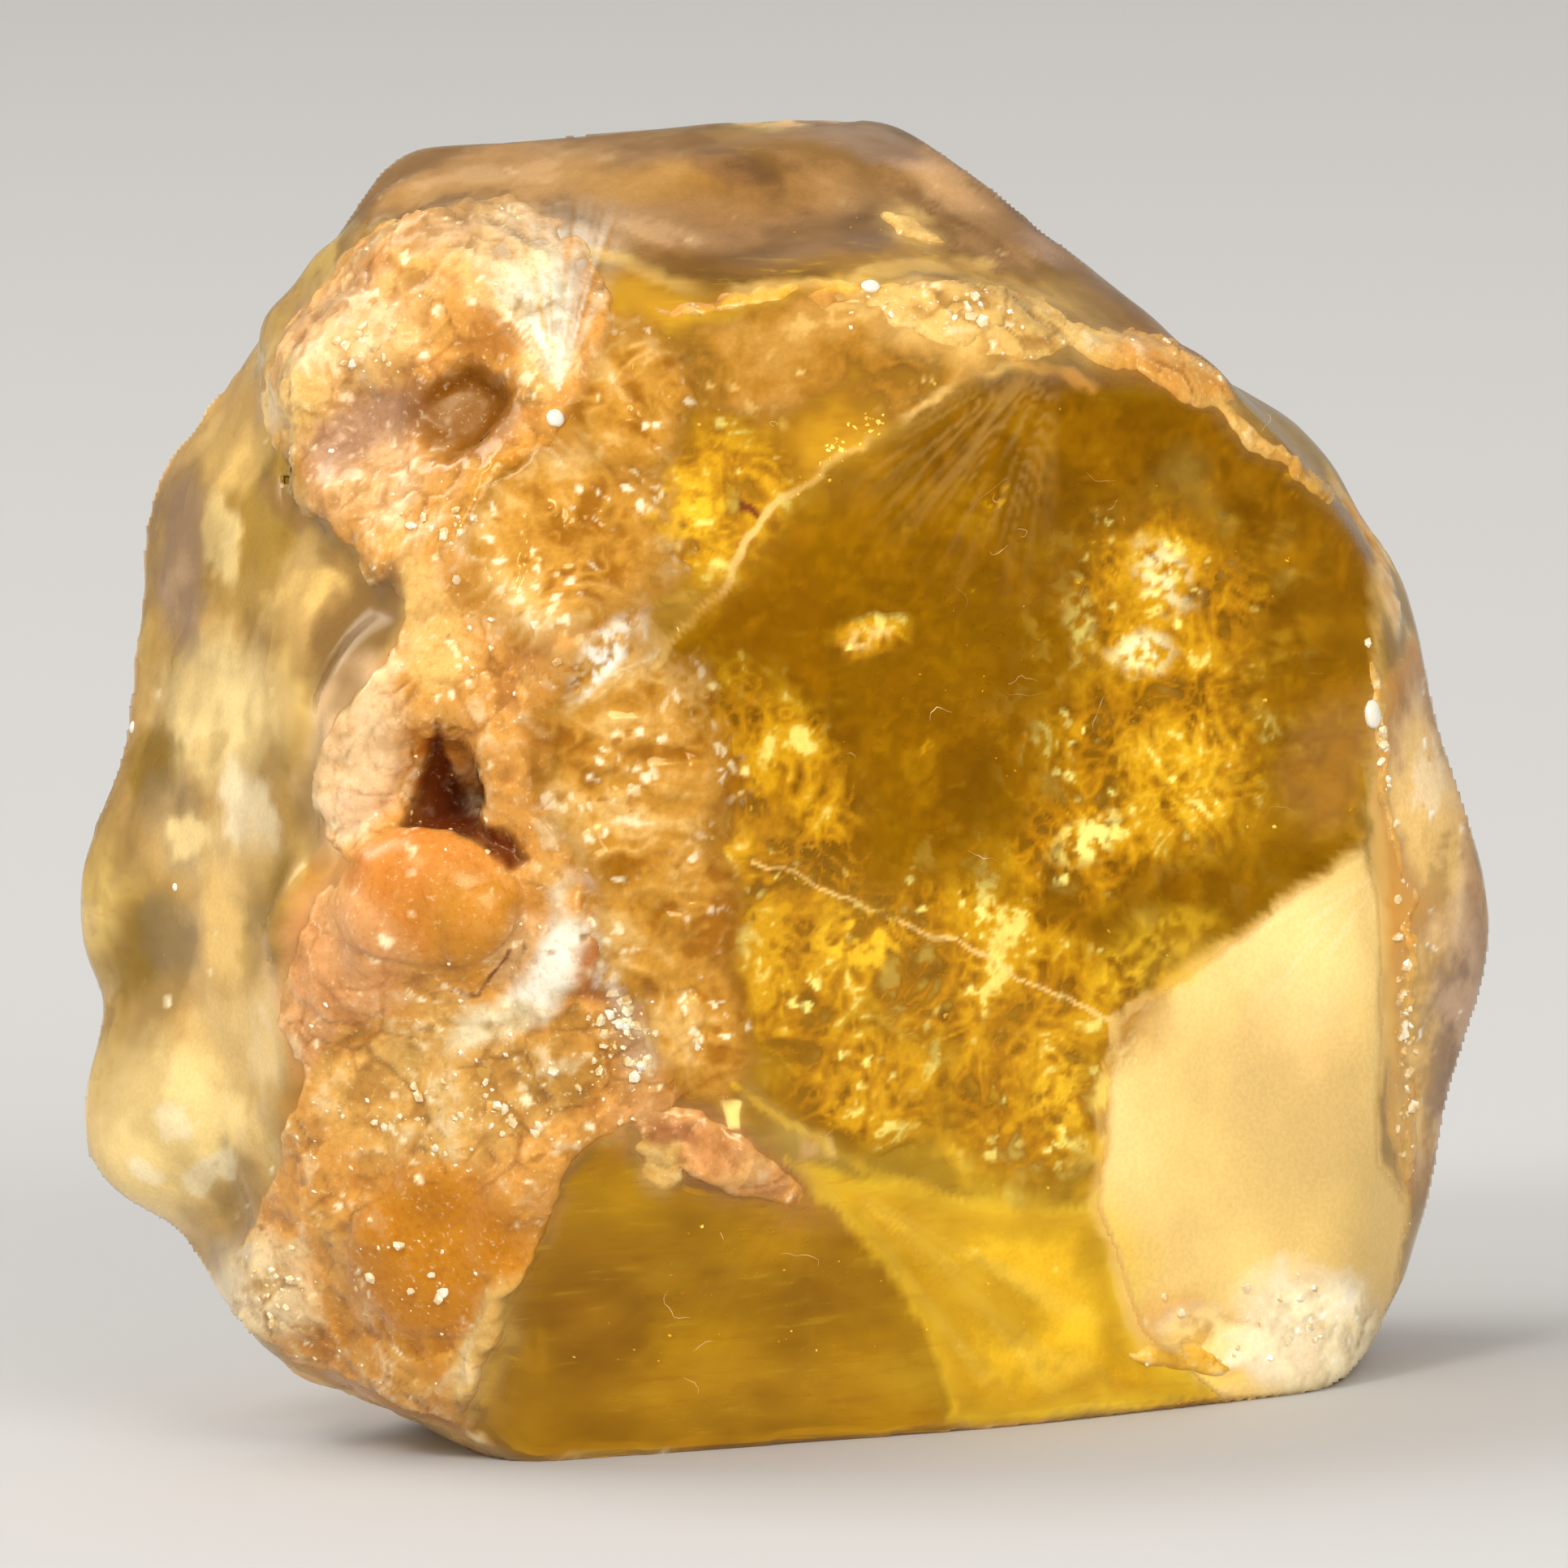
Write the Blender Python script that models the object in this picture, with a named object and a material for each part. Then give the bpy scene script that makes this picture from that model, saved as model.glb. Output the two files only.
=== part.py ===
"""A rough grossular garnet: one water-worn crystal, standing on its flat broken base.

The crystal is a convex body of flat growth faces between named corners, with its edges worn round.
Relief is then laid on it: lobes on the flanks, a crust over the front left, pits, a bead, a seam,
and growth terraces on the back. Every vertex of a sphere moves along its own ray to that surface.
Millimetres in the constants, metres in the mesh, +Z up, front towards -Y.
"""

import math

import bmesh
import bpy
import numpy as np

MM = 0.001

# The middle that every ray leaves from, above the middle of the base.
HEART = np.array([-0.3, -0.8, 12.0])

# Corners of the growth faces, (x, y, z).
CORNERS = {
    # front
    "tip": (-3.4, -11.8, 15.9),
    "seam_end": (0.4, -10.2, 11.6),
    "window_peak": (6.0, -5.6, 21.0),
    "window_shoulder": (10.4, -3.1, 19.1),
    "window_right": (12.2, -2.4, 16.0),
    "window_low": (12.0, -3.4, 10.6),
    "window_foot": (6.4, -7.1, 8.0),
    "band_left": (-5.9, -5.6, 24.4),
    "band_middle": (-0.9, -6.3, 22.8),
    "band_right": (2.8, -5.4, 22.8),
    "yellow_left": (0.7, -9.1, 4.9),
    "yellow_foot": (4.4, -6.5, -0.4),
    "brown_left": (-4.5, -9.7, 5.8),
    "crust_top": (-8.4, -5.8, 20.6),
    "crust_left": (-9.4, -7.8, 15.0),
    "crust_low": (-9.9, -7.4, 8.0),
    # outline seen from the front
    "top_left": (-6.5, 0.6, 25.4),
    "top_right": (3.3, 0.8, 25.5),
    "right_top": (9.2, 1.4, 20.0),
    "right_shoulder": (11.1, 1.6, 18.1),
    "right_side": (12.95, 1.4, 15.5),
    "right_high": (13.4, 0.6, 12.3),
    "right_flank": (13.9, 0.0, 8.6),
    "right_low": (13.1, 0.0, 5.4),
    "right_heel": (12.5, -0.6, 2.6),
    "left_top": (-11.6, 1.0, 19.4),
    "left_shoulder": (-12.0, 1.0, 18.4),
    "left_waist": (-12.3, 0.0, 15.6),
    "left_flank": (-13.6, -0.6, 9.9),
    "left_low": (-12.4, -1.4, 4.2),
    "left_heel": (-11.4, -1.6, 2.5),
    # below the ground, where the base is cut
    "base_front_left": (-5.6, -7.1, -0.4),
    "base_front_right": (10.2, -4.6, -0.4),
    "base_right": (10.9, 2.0, -0.4),
    "base_back_right": (5.6, 6.6, -0.4),
    "base_back_left": (-4.6, 6.4, -0.4),
    "base_left": (-7.2, 0.4, -0.4),
    # back
    "back_top_left": (-4.6, 7.2, 22.4),
    "back_top_right": (4.2, 7.6, 21.8),
    "back_right": (10.8, 7.0, 12.6),
    "back_middle": (1.2, 10.8, 13.2),
    "back_left": (-9.8, 7.4, 13.6),
    "back_low_left": (-7.6, 8.0, 5.0),
    "back_low_right": (7.6, 8.2, 4.6),
}
FLAT_WITHIN = math.radians(5)  # faces that differ by less are one growth face
EDGE_SHARPNESS = 85  # the higher, the tighter the worn edges

# Low forms: place, half width, half height, turn in degrees, height (below 0 a hollow)
# and how steep the rim is.
LOBES = {
    "left_lobe": ((-13.3, -2.4, 6.5), 3.2, 2.6, 0, 1.55, 1.5),
    "left_toe": ((-11.2, -4.2, 2.9), 2.8, 1.6, 0, 0.75, 1.5),
    "left_flank": ((-13.3, -1.0, 11.0), 3.4, 3.0, 0, 0.55, 1.5),
    "left_brow": ((-12.0, 0.0, 18.9), 3.0, 2.0, 0, 0.25, 1.5),
    "right_flank": ((13.7, 0.0, 8.6), 4.0, 3.6, 0, 0.5, 1.5),
    "right_shoulder": ((11.2, 0.8, 18.4), 3.0, 2.0, 0, 0.3, 1.5),
    "right_notch": ((9.2, 1.0, 20.4), 2.6, 0.8, 0, -0.2, 1.5),
    "window_hollow": ((7.6, -6.4, 15.0), 4.2, 5.0, 30, -0.25, 1.5),
    "milky_hollow": ((9.4, -6.0, 5.0), 2.8, 3.2, 0, -0.2, 1.5),
}
MARKS = {
    # front left
    "bead_bed": ((-8.4, -8.6, 10.4), 2.3, 2.5, 20, 0.5, 1.5),
    "bead": ((-6.5, -9.6, 11.5), 1.9, 1.6, 15, 1.0, 0.6),
    "cream_finger": ((-2.7, -11.2, 16.6), 1.6, 0.75, -35, 0.35, 1.0),
    "cream_fan": ((-4.2, -6.8, 22.8), 1.4, 2.2, -25, 0.45, 1.0),
    "oval_pit": ((-5.3, -7.8, 20.8), 1.05, 0.9, 30, -1.1, 0.7),
    "mauve_hollow": ((-7.3, -7.0, 20.5), 1.5, 0.9, 15, -0.6, 1.0),
    "dark_hole": ((-6.2, -9.9, 13.5), 1.0, 1.15, 0, -2.2, 1.0),
    "seam": ((-5.6, -9.2, 3.7), 0.55, 2.8, 20, 0.4, 1.0),
    "fragment": ((-1.4, -9.8, 6.0), 1.9, 0.7, 25, 0.45, 1.0),
    # top, right and window
    "shell_break": ((0.6, -3.4, 24.4), 4.0, 2.2, -5, -0.4, 1.5),
    "cream_brow": ((4.6, -5.4, 21.7), 2.2, 0.8, 20, 0.35, 1.0),
    "shoulder_crumbs": ((8.4, -3.2, 20.3), 2.0, 0.8, 30, 0.3, 1.0),
    "strip_groove": ((12.3, -3.0, 9.2), 0.7, 4.8, 0, -0.3, 1.5),
    # back and sides
    "back_scar": ((5.6, 8.8, 9.0), 4.2, 3.4, 25, -0.8, 1.0),
    "back_pit": ((-5.6, 8.6, 17.4), 1.3, 1.0, -20, -0.9, 0.7),
    "back_knob": ((-8.4, 7.8, 9.6), 2.2, 1.8, 10, 0.6, 1.0),
    "left_dimple": ((-12.6, 3.2, 13.0), 1.6, 2.2, 15, -0.45, 1.5),
    "right_dimple": ((11.8, 4.2, 15.4), 1.8, 1.3, -30, -0.5, 1.5),
    "right_wart": ((12.4, 3.6, 6.4), 1.8, 1.5, 0, 0.5, 1.0),
}
WANDER = 0.24  # how far the rims of the marks and of the crust wander from their drawn lines
WANDER_WAVES = (  # for each axis, how fast a long and a short wave turn along x, y and z, in radians per mm
    ((0.0, 0.8, 1.7), (-2.1, 3.9, 0.0)),
    ((1.4, 0.0, 1.1), (1.9, 0.0, 3.3)),
    ((-1.3, 1.6, 0.0), (4.3, 2.3, 0.0)),
)
SHORT_WAVE_SHARE = 0.5

# The crust's rim, (x, z) as seen from the front, and how thick and how steep it is.
CRUST_RIM = (
    (-9.6, 22.0), (-9.1, 20.9), (-8.7, 20.1), (-9.0, 19.4), (-8.2, 18.9), (-7.7, 18.1),
    (-6.8, 17.4), (-7.7, 16.1), (-8.5, 15.1), (-8.9, 13.6), (-8.4, 12.9), (-8.9, 11.9),
    (-9.8, 10.8), (-10.2, 9.4), (-9.5, 8.3), (-10.4, 6.9), (-10.8, 5.6), (-10.9, 4.0),
    (-10.2, 2.6), (-9.3, 1.5), (-6.9, 0.9), (-5.6, 3.9), (-4.5, 6.1), (-3.0, 6.8),
    (-1.6, 8.6), (-2.4, 11.0), (-3.6, 13.2), (-4.0, 15.2), (-1.6, 17.0), (-0.4, 18.6),
    (-1.8, 20.6), (-2.0, 22.4), (-3.6, 23.8), (-6.4, 24.4), (-8.6, 23.2),
)
CRUST_THICKNESS = 0.55
CRUST_RIM_WIDTH = 0.6
CRUST_LUMPS = 0.13  # how much thicker and thinner the lumps make it
CRUST_WAVES = ((1.9, 0.0, 0.7), (-0.9, 0.0, 1.6), (3.1, 0.0, -2.3))  # radians per mm
CRUST_THINS = (-5.5, -0.2)  # x where it starts to thin and where it ends, towards the window

# Growth terraces on the back: each step is a smaller lozenge about the same middle.
TERRACE_MIDDLE = (0.6, 15.6)
TERRACE_HALF = (6.4, 5.2)
TERRACE_STEPS = 3
TERRACE_HEIGHT = 0.28
TERRACE_EDGE = 0.06  # width of a step's slope, as a share of the lozenge

SPHERE_LEVEL = 7
SMOOTHING_ROUNDS = 2
TRIANGLE_SHARE = 0.11
BASE_SNAP = 0.02  # what is this close to the ground lies on it


def clear_scene():
    for obj in list(bpy.data.objects):
        bpy.data.objects.remove(obj, do_unlink=True)


def growth_faces():
    """(normals, distances from the heart) of the flat faces that span the corners."""
    bm = bmesh.new()
    for corner in CORNERS.values():
        bm.verts.new(corner)
    hull = bmesh.ops.convex_hull(bm, input=bm.verts)
    inner = [v for v in hull["geom_interior"] if isinstance(v, bmesh.types.BMVert)]
    bmesh.ops.delete(bm, geom=inner, context="VERTS")
    bmesh.ops.dissolve_limit(bm, angle_limit=FLAT_WITHIN, verts=bm.verts, edges=bm.edges)
    bm.normal_update()
    normals = np.array([face.normal for face in bm.faces])
    middles = np.array([face.calc_center_median() for face in bm.faces])
    bm.free()
    return normals, ((middles - HEART) * normals).sum(axis=1)


def worn_reach(rays):
    """How far the worn crystal reaches along each ray."""
    normals, distances = growth_faces()
    reach = np.maximum(rays @ normals.T, 0.0) / distances
    return (reach**EDGE_SHARPNESS).sum(axis=1) ** (-1.0 / EDGE_SHARPNESS)


def smooth_step(share):
    share = np.clip(share, 0.0, 1.0)
    return share * share * (3.0 - 2.0 * share)


def wandered(points):
    """The points, shifted a little by slow waves, so that no rim is a true ellipse or straight line."""
    shifts = [
        np.sin(points @ np.array(long)) + SHORT_WAVE_SHARE * np.sin(points @ np.array(short))
        for long, short in WANDER_WAVES
    ]
    return points + WANDER * np.stack(shifts, axis=1)


def relief_height(points, place, half_width, half_height, turn, height, steepness):
    """How far one low form lifts each point: all of its height in the middle and none past its rim."""
    out = np.array(place) - HEART
    out = out / np.linalg.norm(out)
    across = np.cross(out, (0.0, 0.0, 1.0))
    across /= np.linalg.norm(across)
    up = np.cross(across, out)
    turned = math.radians(turn)
    wide = math.cos(turned) * across + math.sin(turned) * up
    tall = math.cos(turned) * up - math.sin(turned) * across
    offset = points - np.array(place)
    spread = (offset @ wide / half_width) ** 2 + (offset @ tall / half_height) ** 2
    same_side = (points - HEART) @ out > 0
    return np.where(same_side, height * np.maximum(1.0 - spread, 0.0) ** steepness, 0.0)


def rim_distance(x, z):
    """Distance from each point to the crust's rim, above 0 inside it."""
    rim = np.array(CRUST_RIM)
    nearest = np.full(x.shape, np.inf)
    inside = np.zeros(x.shape, dtype=bool)
    for (ax, az), (bx, bz) in zip(rim, np.roll(rim, -1, axis=0)):
        along = ((x - ax) * (bx - ax) + (z - az) * (bz - az)) / ((bx - ax) ** 2 + (bz - az) ** 2)
        along = np.clip(along, 0.0, 1.0)
        nearest = np.minimum(nearest, np.hypot(x - ax - along * (bx - ax), z - az - along * (bz - az)))
        crosses = (az > z) != (bz > z)
        inside ^= crosses & (x < ax + (z - az) * (bx - ax) / (bz - az if bz != az else 1.0))
    return np.where(inside, nearest, -nearest)


def crust_height(points):
    """The crust is a sheet with a scalloped rim, only on the front, thicker and thinner in lumps."""
    x, y, z = points.T
    full, bare = CRUST_THINS
    sheet = smooth_step(0.5 + rim_distance(x, z) / CRUST_RIM_WIDTH) * smooth_step((bare - x) / (bare - full))
    broad, cross, fine = (np.sin(points @ np.array(wave)) for wave in CRUST_WAVES)
    lumps = broad * cross + SHORT_WAVE_SHARE * fine
    return np.where(y < HEART[1], sheet * (CRUST_THICKNESS + CRUST_LUMPS * lumps), 0.0)


def terrace_height(points):
    """Flat steps that the crystal's growth left on its back."""
    x, y, z = points.T
    reach = np.abs(x - TERRACE_MIDDLE[0]) / TERRACE_HALF[0] + np.abs(z - TERRACE_MIDDLE[1]) / TERRACE_HALF[1]
    height = np.zeros(len(points))
    for step in range(TERRACE_STEPS):
        rim = 1.0 - step / TERRACE_STEPS
        height += TERRACE_HEIGHT * smooth_step(0.5 + (rim - reach) / TERRACE_EDGE)
    return np.where(y > -HEART[1], height, 0.0)


def surface_points(rays):
    """Where each ray meets the finished surface."""
    reach = worn_reach(rays)
    for lobe in LOBES.values():
        reach = reach + relief_height(HEART + rays * reach[:, None], *lobe)
    for mark in MARKS.values():
        reach = reach + relief_height(wandered(HEART + rays * reach[:, None]), *mark)
    points = HEART + rays * reach[:, None]
    reach = reach + crust_height(wandered(points)) + terrace_height(points)
    return HEART + rays * reach[:, None]


def garnet_material():
    material = bpy.data.materials.new("honey_garnet")
    material.use_nodes = True
    shader = material.node_tree.nodes["Principled BSDF"]
    shader.inputs["Base Color"].default_value = (0.62, 0.33, 0.05, 1.0)
    shader.inputs["Roughness"].default_value = 0.3
    shader.inputs["Metallic"].default_value = 0.0
    return material


def fine_surface():
    """The crystal as a dense mesh, cut off flat at the ground."""
    bm = bmesh.new()
    bmesh.ops.create_icosphere(bm, subdivisions=SPHERE_LEVEL, radius=1.0)
    points = surface_points(np.array([vert.co.normalized() for vert in bm.verts]))
    for vert, point in zip(bm.verts, points):
        vert.co = point * MM
    for _ in range(SMOOTHING_ROUNDS):
        bmesh.ops.smooth_vert(bm, verts=bm.verts, factor=0.5, use_axis_x=True, use_axis_y=True, use_axis_z=True)
    whole = bm.verts[:] + bm.edges[:] + bm.faces[:]
    cut = bmesh.ops.bisect_plane(bm, geom=whole, plane_co=(0, 0, 0), plane_no=(0, 0, -1), clear_outer=True)
    rim = [edge for edge in cut["geom_cut"] if isinstance(edge, bmesh.types.BMEdge)]
    bmesh.ops.edgeloop_fill(bm, edges=rim)
    bmesh.ops.recalc_face_normals(bm, faces=bm.faces)
    mesh = bpy.data.meshes.new("fine_surface")
    bm.to_mesh(mesh)
    bm.free()
    return mesh


def settle(mesh):
    """Stands the crystal on the ground, with the middle of its box over the origin."""
    places = np.array([vert.co for vert in mesh.vertices])
    middle = (places.min(axis=0) + places.max(axis=0)) / 2
    for vert in mesh.vertices:
        vert.co.x -= middle[0]
        vert.co.y -= middle[1]
        if vert.co.z < BASE_SNAP * MM:
            vert.co.z = 0.0


def garnet_crystal():
    fine = bpy.data.objects.new("fine_crystal", fine_surface())
    bpy.context.scene.collection.objects.link(fine)
    fewer = fine.modifiers.new("fewer_flat_triangles", "DECIMATE")
    fewer.ratio = TRIANGLE_SHARE
    mesh = bpy.data.meshes.new_from_object(fine.evaluated_get(bpy.context.evaluated_depsgraph_get()))
    bpy.data.objects.remove(fine, do_unlink=True)
    settle(mesh)
    mesh.shade_smooth()
    mesh.materials.append(garnet_material())
    crystal = bpy.data.objects.new("garnet_crystal", mesh)
    bpy.context.scene.collection.objects.link(crystal)


def main():
    clear_scene()
    garnet_crystal()


main()
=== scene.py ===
"""A rough grossular garnet, finished on its packed solid: the worn, see-through crystal, the crust on its
left and along its ridges, the veils, flakes, grains and threads caught in it, and a plain studio. It is laid
out as an add-on and run as a script."""

import math
import random
from functools import partial

import bmesh
import bpy
import numpy as np
from bpy.props import FloatProperty, FloatVectorProperty, IntProperty, PointerProperty
from mathutils import Matrix, Vector, noise
from mathutils.bvhtree import BVHTree


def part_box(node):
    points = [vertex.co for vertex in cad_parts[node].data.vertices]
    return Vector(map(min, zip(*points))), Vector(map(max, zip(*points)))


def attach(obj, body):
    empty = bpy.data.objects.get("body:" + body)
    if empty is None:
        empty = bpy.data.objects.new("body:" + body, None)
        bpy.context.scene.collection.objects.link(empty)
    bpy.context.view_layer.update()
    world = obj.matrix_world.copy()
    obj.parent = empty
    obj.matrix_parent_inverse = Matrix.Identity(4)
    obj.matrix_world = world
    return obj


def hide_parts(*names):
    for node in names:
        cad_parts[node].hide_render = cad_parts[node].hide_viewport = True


bl_info = {
    "name": "Rough Garnet",
    "version": (1, 0, 0),
    "blender": (4, 5, 0),
    "location": "View3D > Sidebar > Garnet",
    "description": "Builds a rough grossular garnet crystal and its studio",
    "category": "Add Mesh",
}

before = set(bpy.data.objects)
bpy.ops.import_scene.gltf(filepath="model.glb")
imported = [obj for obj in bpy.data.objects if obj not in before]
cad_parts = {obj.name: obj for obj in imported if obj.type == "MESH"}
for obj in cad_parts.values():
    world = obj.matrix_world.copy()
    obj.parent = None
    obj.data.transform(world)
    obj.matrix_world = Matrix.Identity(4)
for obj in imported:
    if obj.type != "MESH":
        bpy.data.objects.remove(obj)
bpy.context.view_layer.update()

MM = 0.001
CRYSTAL = "garnet_crystal"
LOW, HIGH = (Vector(corner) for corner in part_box(CRYSTAL))
HEART = Vector(((LOW.x + HIGH.x) / 2 - 0.3 * MM, (LOW.y + HIGH.y) / 2 - 0.4 * MM, 12.0 * MM))

# How the front is looked at: marks are placed by (across, height) in millimetres as seen along this slope.
FRONT_SLOPE = math.radians(6.0)
FRONT_FOOT = -6.6 * MM
TOWARDS_FRONT = np.array((0.0, -math.cos(FRONT_SLOPE), math.sin(FRONT_SLOPE)))
TOWARDS = Vector(TOWARDS_FRONT)

# Streaks in the clear crystal lean this way, and are a third as long across it.
SLANT = np.array(Matrix.Rotation(math.radians(35), 3, "Y") @ Matrix.Diagonal((0.35, 1.0, 1.0)))


def paint(red, green, blue):
    """A colour mixed from 0 to 255, as the shader wants it."""
    share = np.array((red, green, blue)) / 255
    return tuple(float(c) for c in np.where(share > 0.04045, ((share + 0.055) / 1.055) ** 2.4, share / 12.92))


COLOURS = {
    "window": paint(205, 145, 2),
    "amber_dark": paint(210, 134, 2),
    "olive_dark": paint(214, 152, 4),
    "gold_dark": paint(205, 148, 18),
    "brown": paint(168, 106, 4),
    "gold": paint(226, 162, 28),
    "sun": paint(252, 200, 44),
    "lemon": paint(255, 230, 112),
    "lemon_pale": paint(255, 240, 128),
    "lemon_white": paint(255, 250, 190),
    "lemon_dark": paint(255, 206, 46),
    "amber": paint(210, 140, 36),
    "honey": paint(238, 198, 104),
    "honey_dark": paint(180, 126, 38),
    "olive": paint(160, 120, 28),
    "taupe": paint(158, 132, 90),
    "umber": paint(140, 100, 48),
    "apricot": paint(226, 160, 72),
    "peach": paint(232, 180, 118),
    "salmon": paint(232, 166, 102),
    "peach_pale": paint(246, 206, 158),
    "orange": paint(224, 140, 50),
    "rust": paint(176, 104, 55),
    "pit": paint(140, 84, 14),
    "deep": paint(112, 46, 12),
    "band_brown": paint(150, 106, 52),
    "band_pale": paint(184, 140, 84),
    "olive_shade": paint(128, 92, 36),
    "left_honey": paint(196, 154, 84),
    "strip_shade": paint(186, 142, 92),
    "strip_pale": paint(246, 216, 168),
    "window_dark": paint(138, 84, 3),
    "window_pale": paint(180, 118, 6),
    "veil_dark": paint(134, 84, 3),
    "veil": paint(169, 112, 4),
    "veil_pale": paint(206, 150, 15),
    "veil_honey": paint(164, 110, 26),
    "honey_pale": paint(190, 138, 62),
    "honey_shade": paint(126, 82, 22),
    "mess_dark": paint(162, 98, 10),
    "mess": paint(190, 132, 44),
    "mess_pale": paint(218, 170, 94),
    "ember": paint(186, 110, 34),
    "plum": paint(112, 72, 38),
    "mauve": paint(172, 140, 118),
    "mauve_dark": paint(168, 124, 100),
    "butter": paint(236, 192, 108),
    "cream": paint(255, 236, 190),
    "white": paint(255, 249, 228),
    "milk_pale": paint(252, 220, 146),
    "amber_deep": paint(208, 132, 10),
    "umber_dark": paint(140, 92, 30),
    "milk": paint(244, 204, 122),
    "milk_tan": paint(212, 160, 100),
    "tan": paint(215, 172, 120),
}

# Each region of the clear crystal's front: colour, clearness, roughness, slow swell in millimetres, and
# outline.
REGIONS = {
    "left_side": ("honey", 0.45, 0.16, 0.09,
        [(-15, 21), (-8, 26), (-6, 12), (-9, 5), (-15, 4)]),
    "under_crust": ("amber", 0.35, 0.2, 0.0,
        [(-9.4, 20.3), (-8.4, 18.5), (-7.0, 16.8), (-7.1, 16.1), (-8.5, 14.5), (-8.8, 12.5), (-9.7, 10.2),
         (-10.2, 6.7), (-11.3, 4.3), (-10.3, 2.2), (-6.9, 0.6), (-3.6, 6.3), (-1.2, 7.9), (-2.2, 10.6),
         (-4.0, 12.7), (-3.8, 15.2), (0.0, 18.3), (-1.9, 20.7), (-2.4, 22.9), (-4.3, 24.9), (-8.8, 22.9)]),
    "band": ("honey_dark", 0.55, 0.2, 0.02,
        [(-6.4, 25.9), (3.0, 25.9), (4.2, 25.1), (6.6, 22.9), (9.4, 20.8), (6.5, 21.3), (4.9, 22.8),
         (2.8, 22.8), (2.1, 22.5), (-0.9, 22.7), (-2.3, 23.6), (-4.5, 24.9), (-5.8, 24.8), (-7.4, 24.3)]),
    "upper_glass": ("gold", 0.5, 0.12, 0.02,
        [(-2.9, 23.2), (2.1, 22.6), (4.9, 22.6), (6.5, 21.2), (5.4, 20.9), (3.7, 20.2), (0.1, 17.9),
         (-3.0, 18.4)]),
    "strip": ("apricot", 0.3, 0.35, 0.02,
        [(12.1, 14.0), (12.9, 15.1), (13.2, 13.6), (14.0, 9.8), (13.9, 8.2), (13.0, 5.4), (12.1, 3.8),
         (11.8, 5.2), (11.7, 6.8), (11.8, 11.6)]),
    "milky": ("milk", 0.2, 0.42, 0.0,
        [(6.4, 7.9), (8.0, 8.8), (9.6, 9.8), (11.6, 11.0), (11.9, 10.0), (11.7, 6.8), (11.5, 4.7),
         (12.1, 3.8), (11.7, 1.9), (11.1, 1.0), (9.9, 0.1), (8.0, 0.2), (6.5, 1.6), (6.1, 3.0), (5.7, 4.3),
         (6.0, 5.9)]),
    "yellow_foot": ("lemon_dark", 0.45, 0.12, 0.0,
        [(0.0, 5.6), (1.9, 5.0), (4.2, 4.4), (5.8, 4.3), (6.5, 1.6), (8.0, 0.2), (2.7, 0.1), (2.3, 1.8),
         (1.6, 3.3), (0.7, 4.6)]),
    "brown_foot": ("olive_dark", 0.65, 0.1, 0.01,
        [(-3.8, 6.2), (-4.5, 5.5), (-5.5, 3.6), (-6.8, 0.6), (-5.7, 0.1), (-1.7, 0.0), (2.7, 0.1), (2.5, 1.8),
         (1.5, 3.6), (0.7, 4.6), (0.0, 5.3), (-1.6, 6.1)]),
    "window": ("window", 0.72, 0.05, 0.0,
        [(5.4, 20.9), (6.8, 20.2), (9.0, 20.0), (10.2, 19.1), (11.4, 18.0), (12.2, 16.7), (12.2, 15.4),
         (12.0, 14.0), (11.8, 12.6), (11.7, 11.1), (9.6, 9.8), (8.0, 8.8), (6.4, 7.9), (4.4, 9.0),
         (2.2, 10.1), (0.4, 11.2), (-0.8, 12.3), (-1.5, 14.1), (-2.3, 15.3), (-0.9, 16.6), (0.1, 17.9),
         (1.9, 19.3), (3.7, 20.2)]),
    "lower_window": ("window", 0.7, 0.06, 0.01,
        [(0.4, 11.2), (2.2, 10.1), (4.4, 9.0), (6.4, 7.9), (6.1, 5.5), (5.7, 4.3), (4.2, 4.4), (1.1, 5.6),
         (-0.7, 7.1), (-2.2, 9.3), (-2.4, 11.8), (-0.9, 11.8)]),
}
# The sides that the front doesn't show: colour, clearness, roughness and slow swell.
HIDDEN_SIDE = ("honey", 0.72, 0.14, 0.07)
# Where the hidden sides are crusted over: the same, and how far that crust stands up and down in
# millimetres.
HIDDEN_CRUST = ("peach", 0.1, 0.4, 0.0)
HIDDEN_RELIEF = 0.16
# Drifts of colour on the hidden sides and on their crust: size in millimetres, seed, octaves, gain,
# shift, strength and colour.
HIDDEN_DRIFTS = (
    (5.5, 7, 3, 1.5, 0.2, 0.7, "window"),
    (4.0, 8, 3, 1.6, -0.1, 0.7, "amber"),
    (3.0, 9, 3, 2.0, -0.4, 0.5, "brown"),
)
CRUST_DRIFTS = (
    (1.8, 11, 4, 1.6, -0.2, 0.7, "cream"),
    (1.2, 16, 4, 1.6, -0.2, 0.6, "rust"),
)
REGION_EDGE = 0.09

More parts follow.
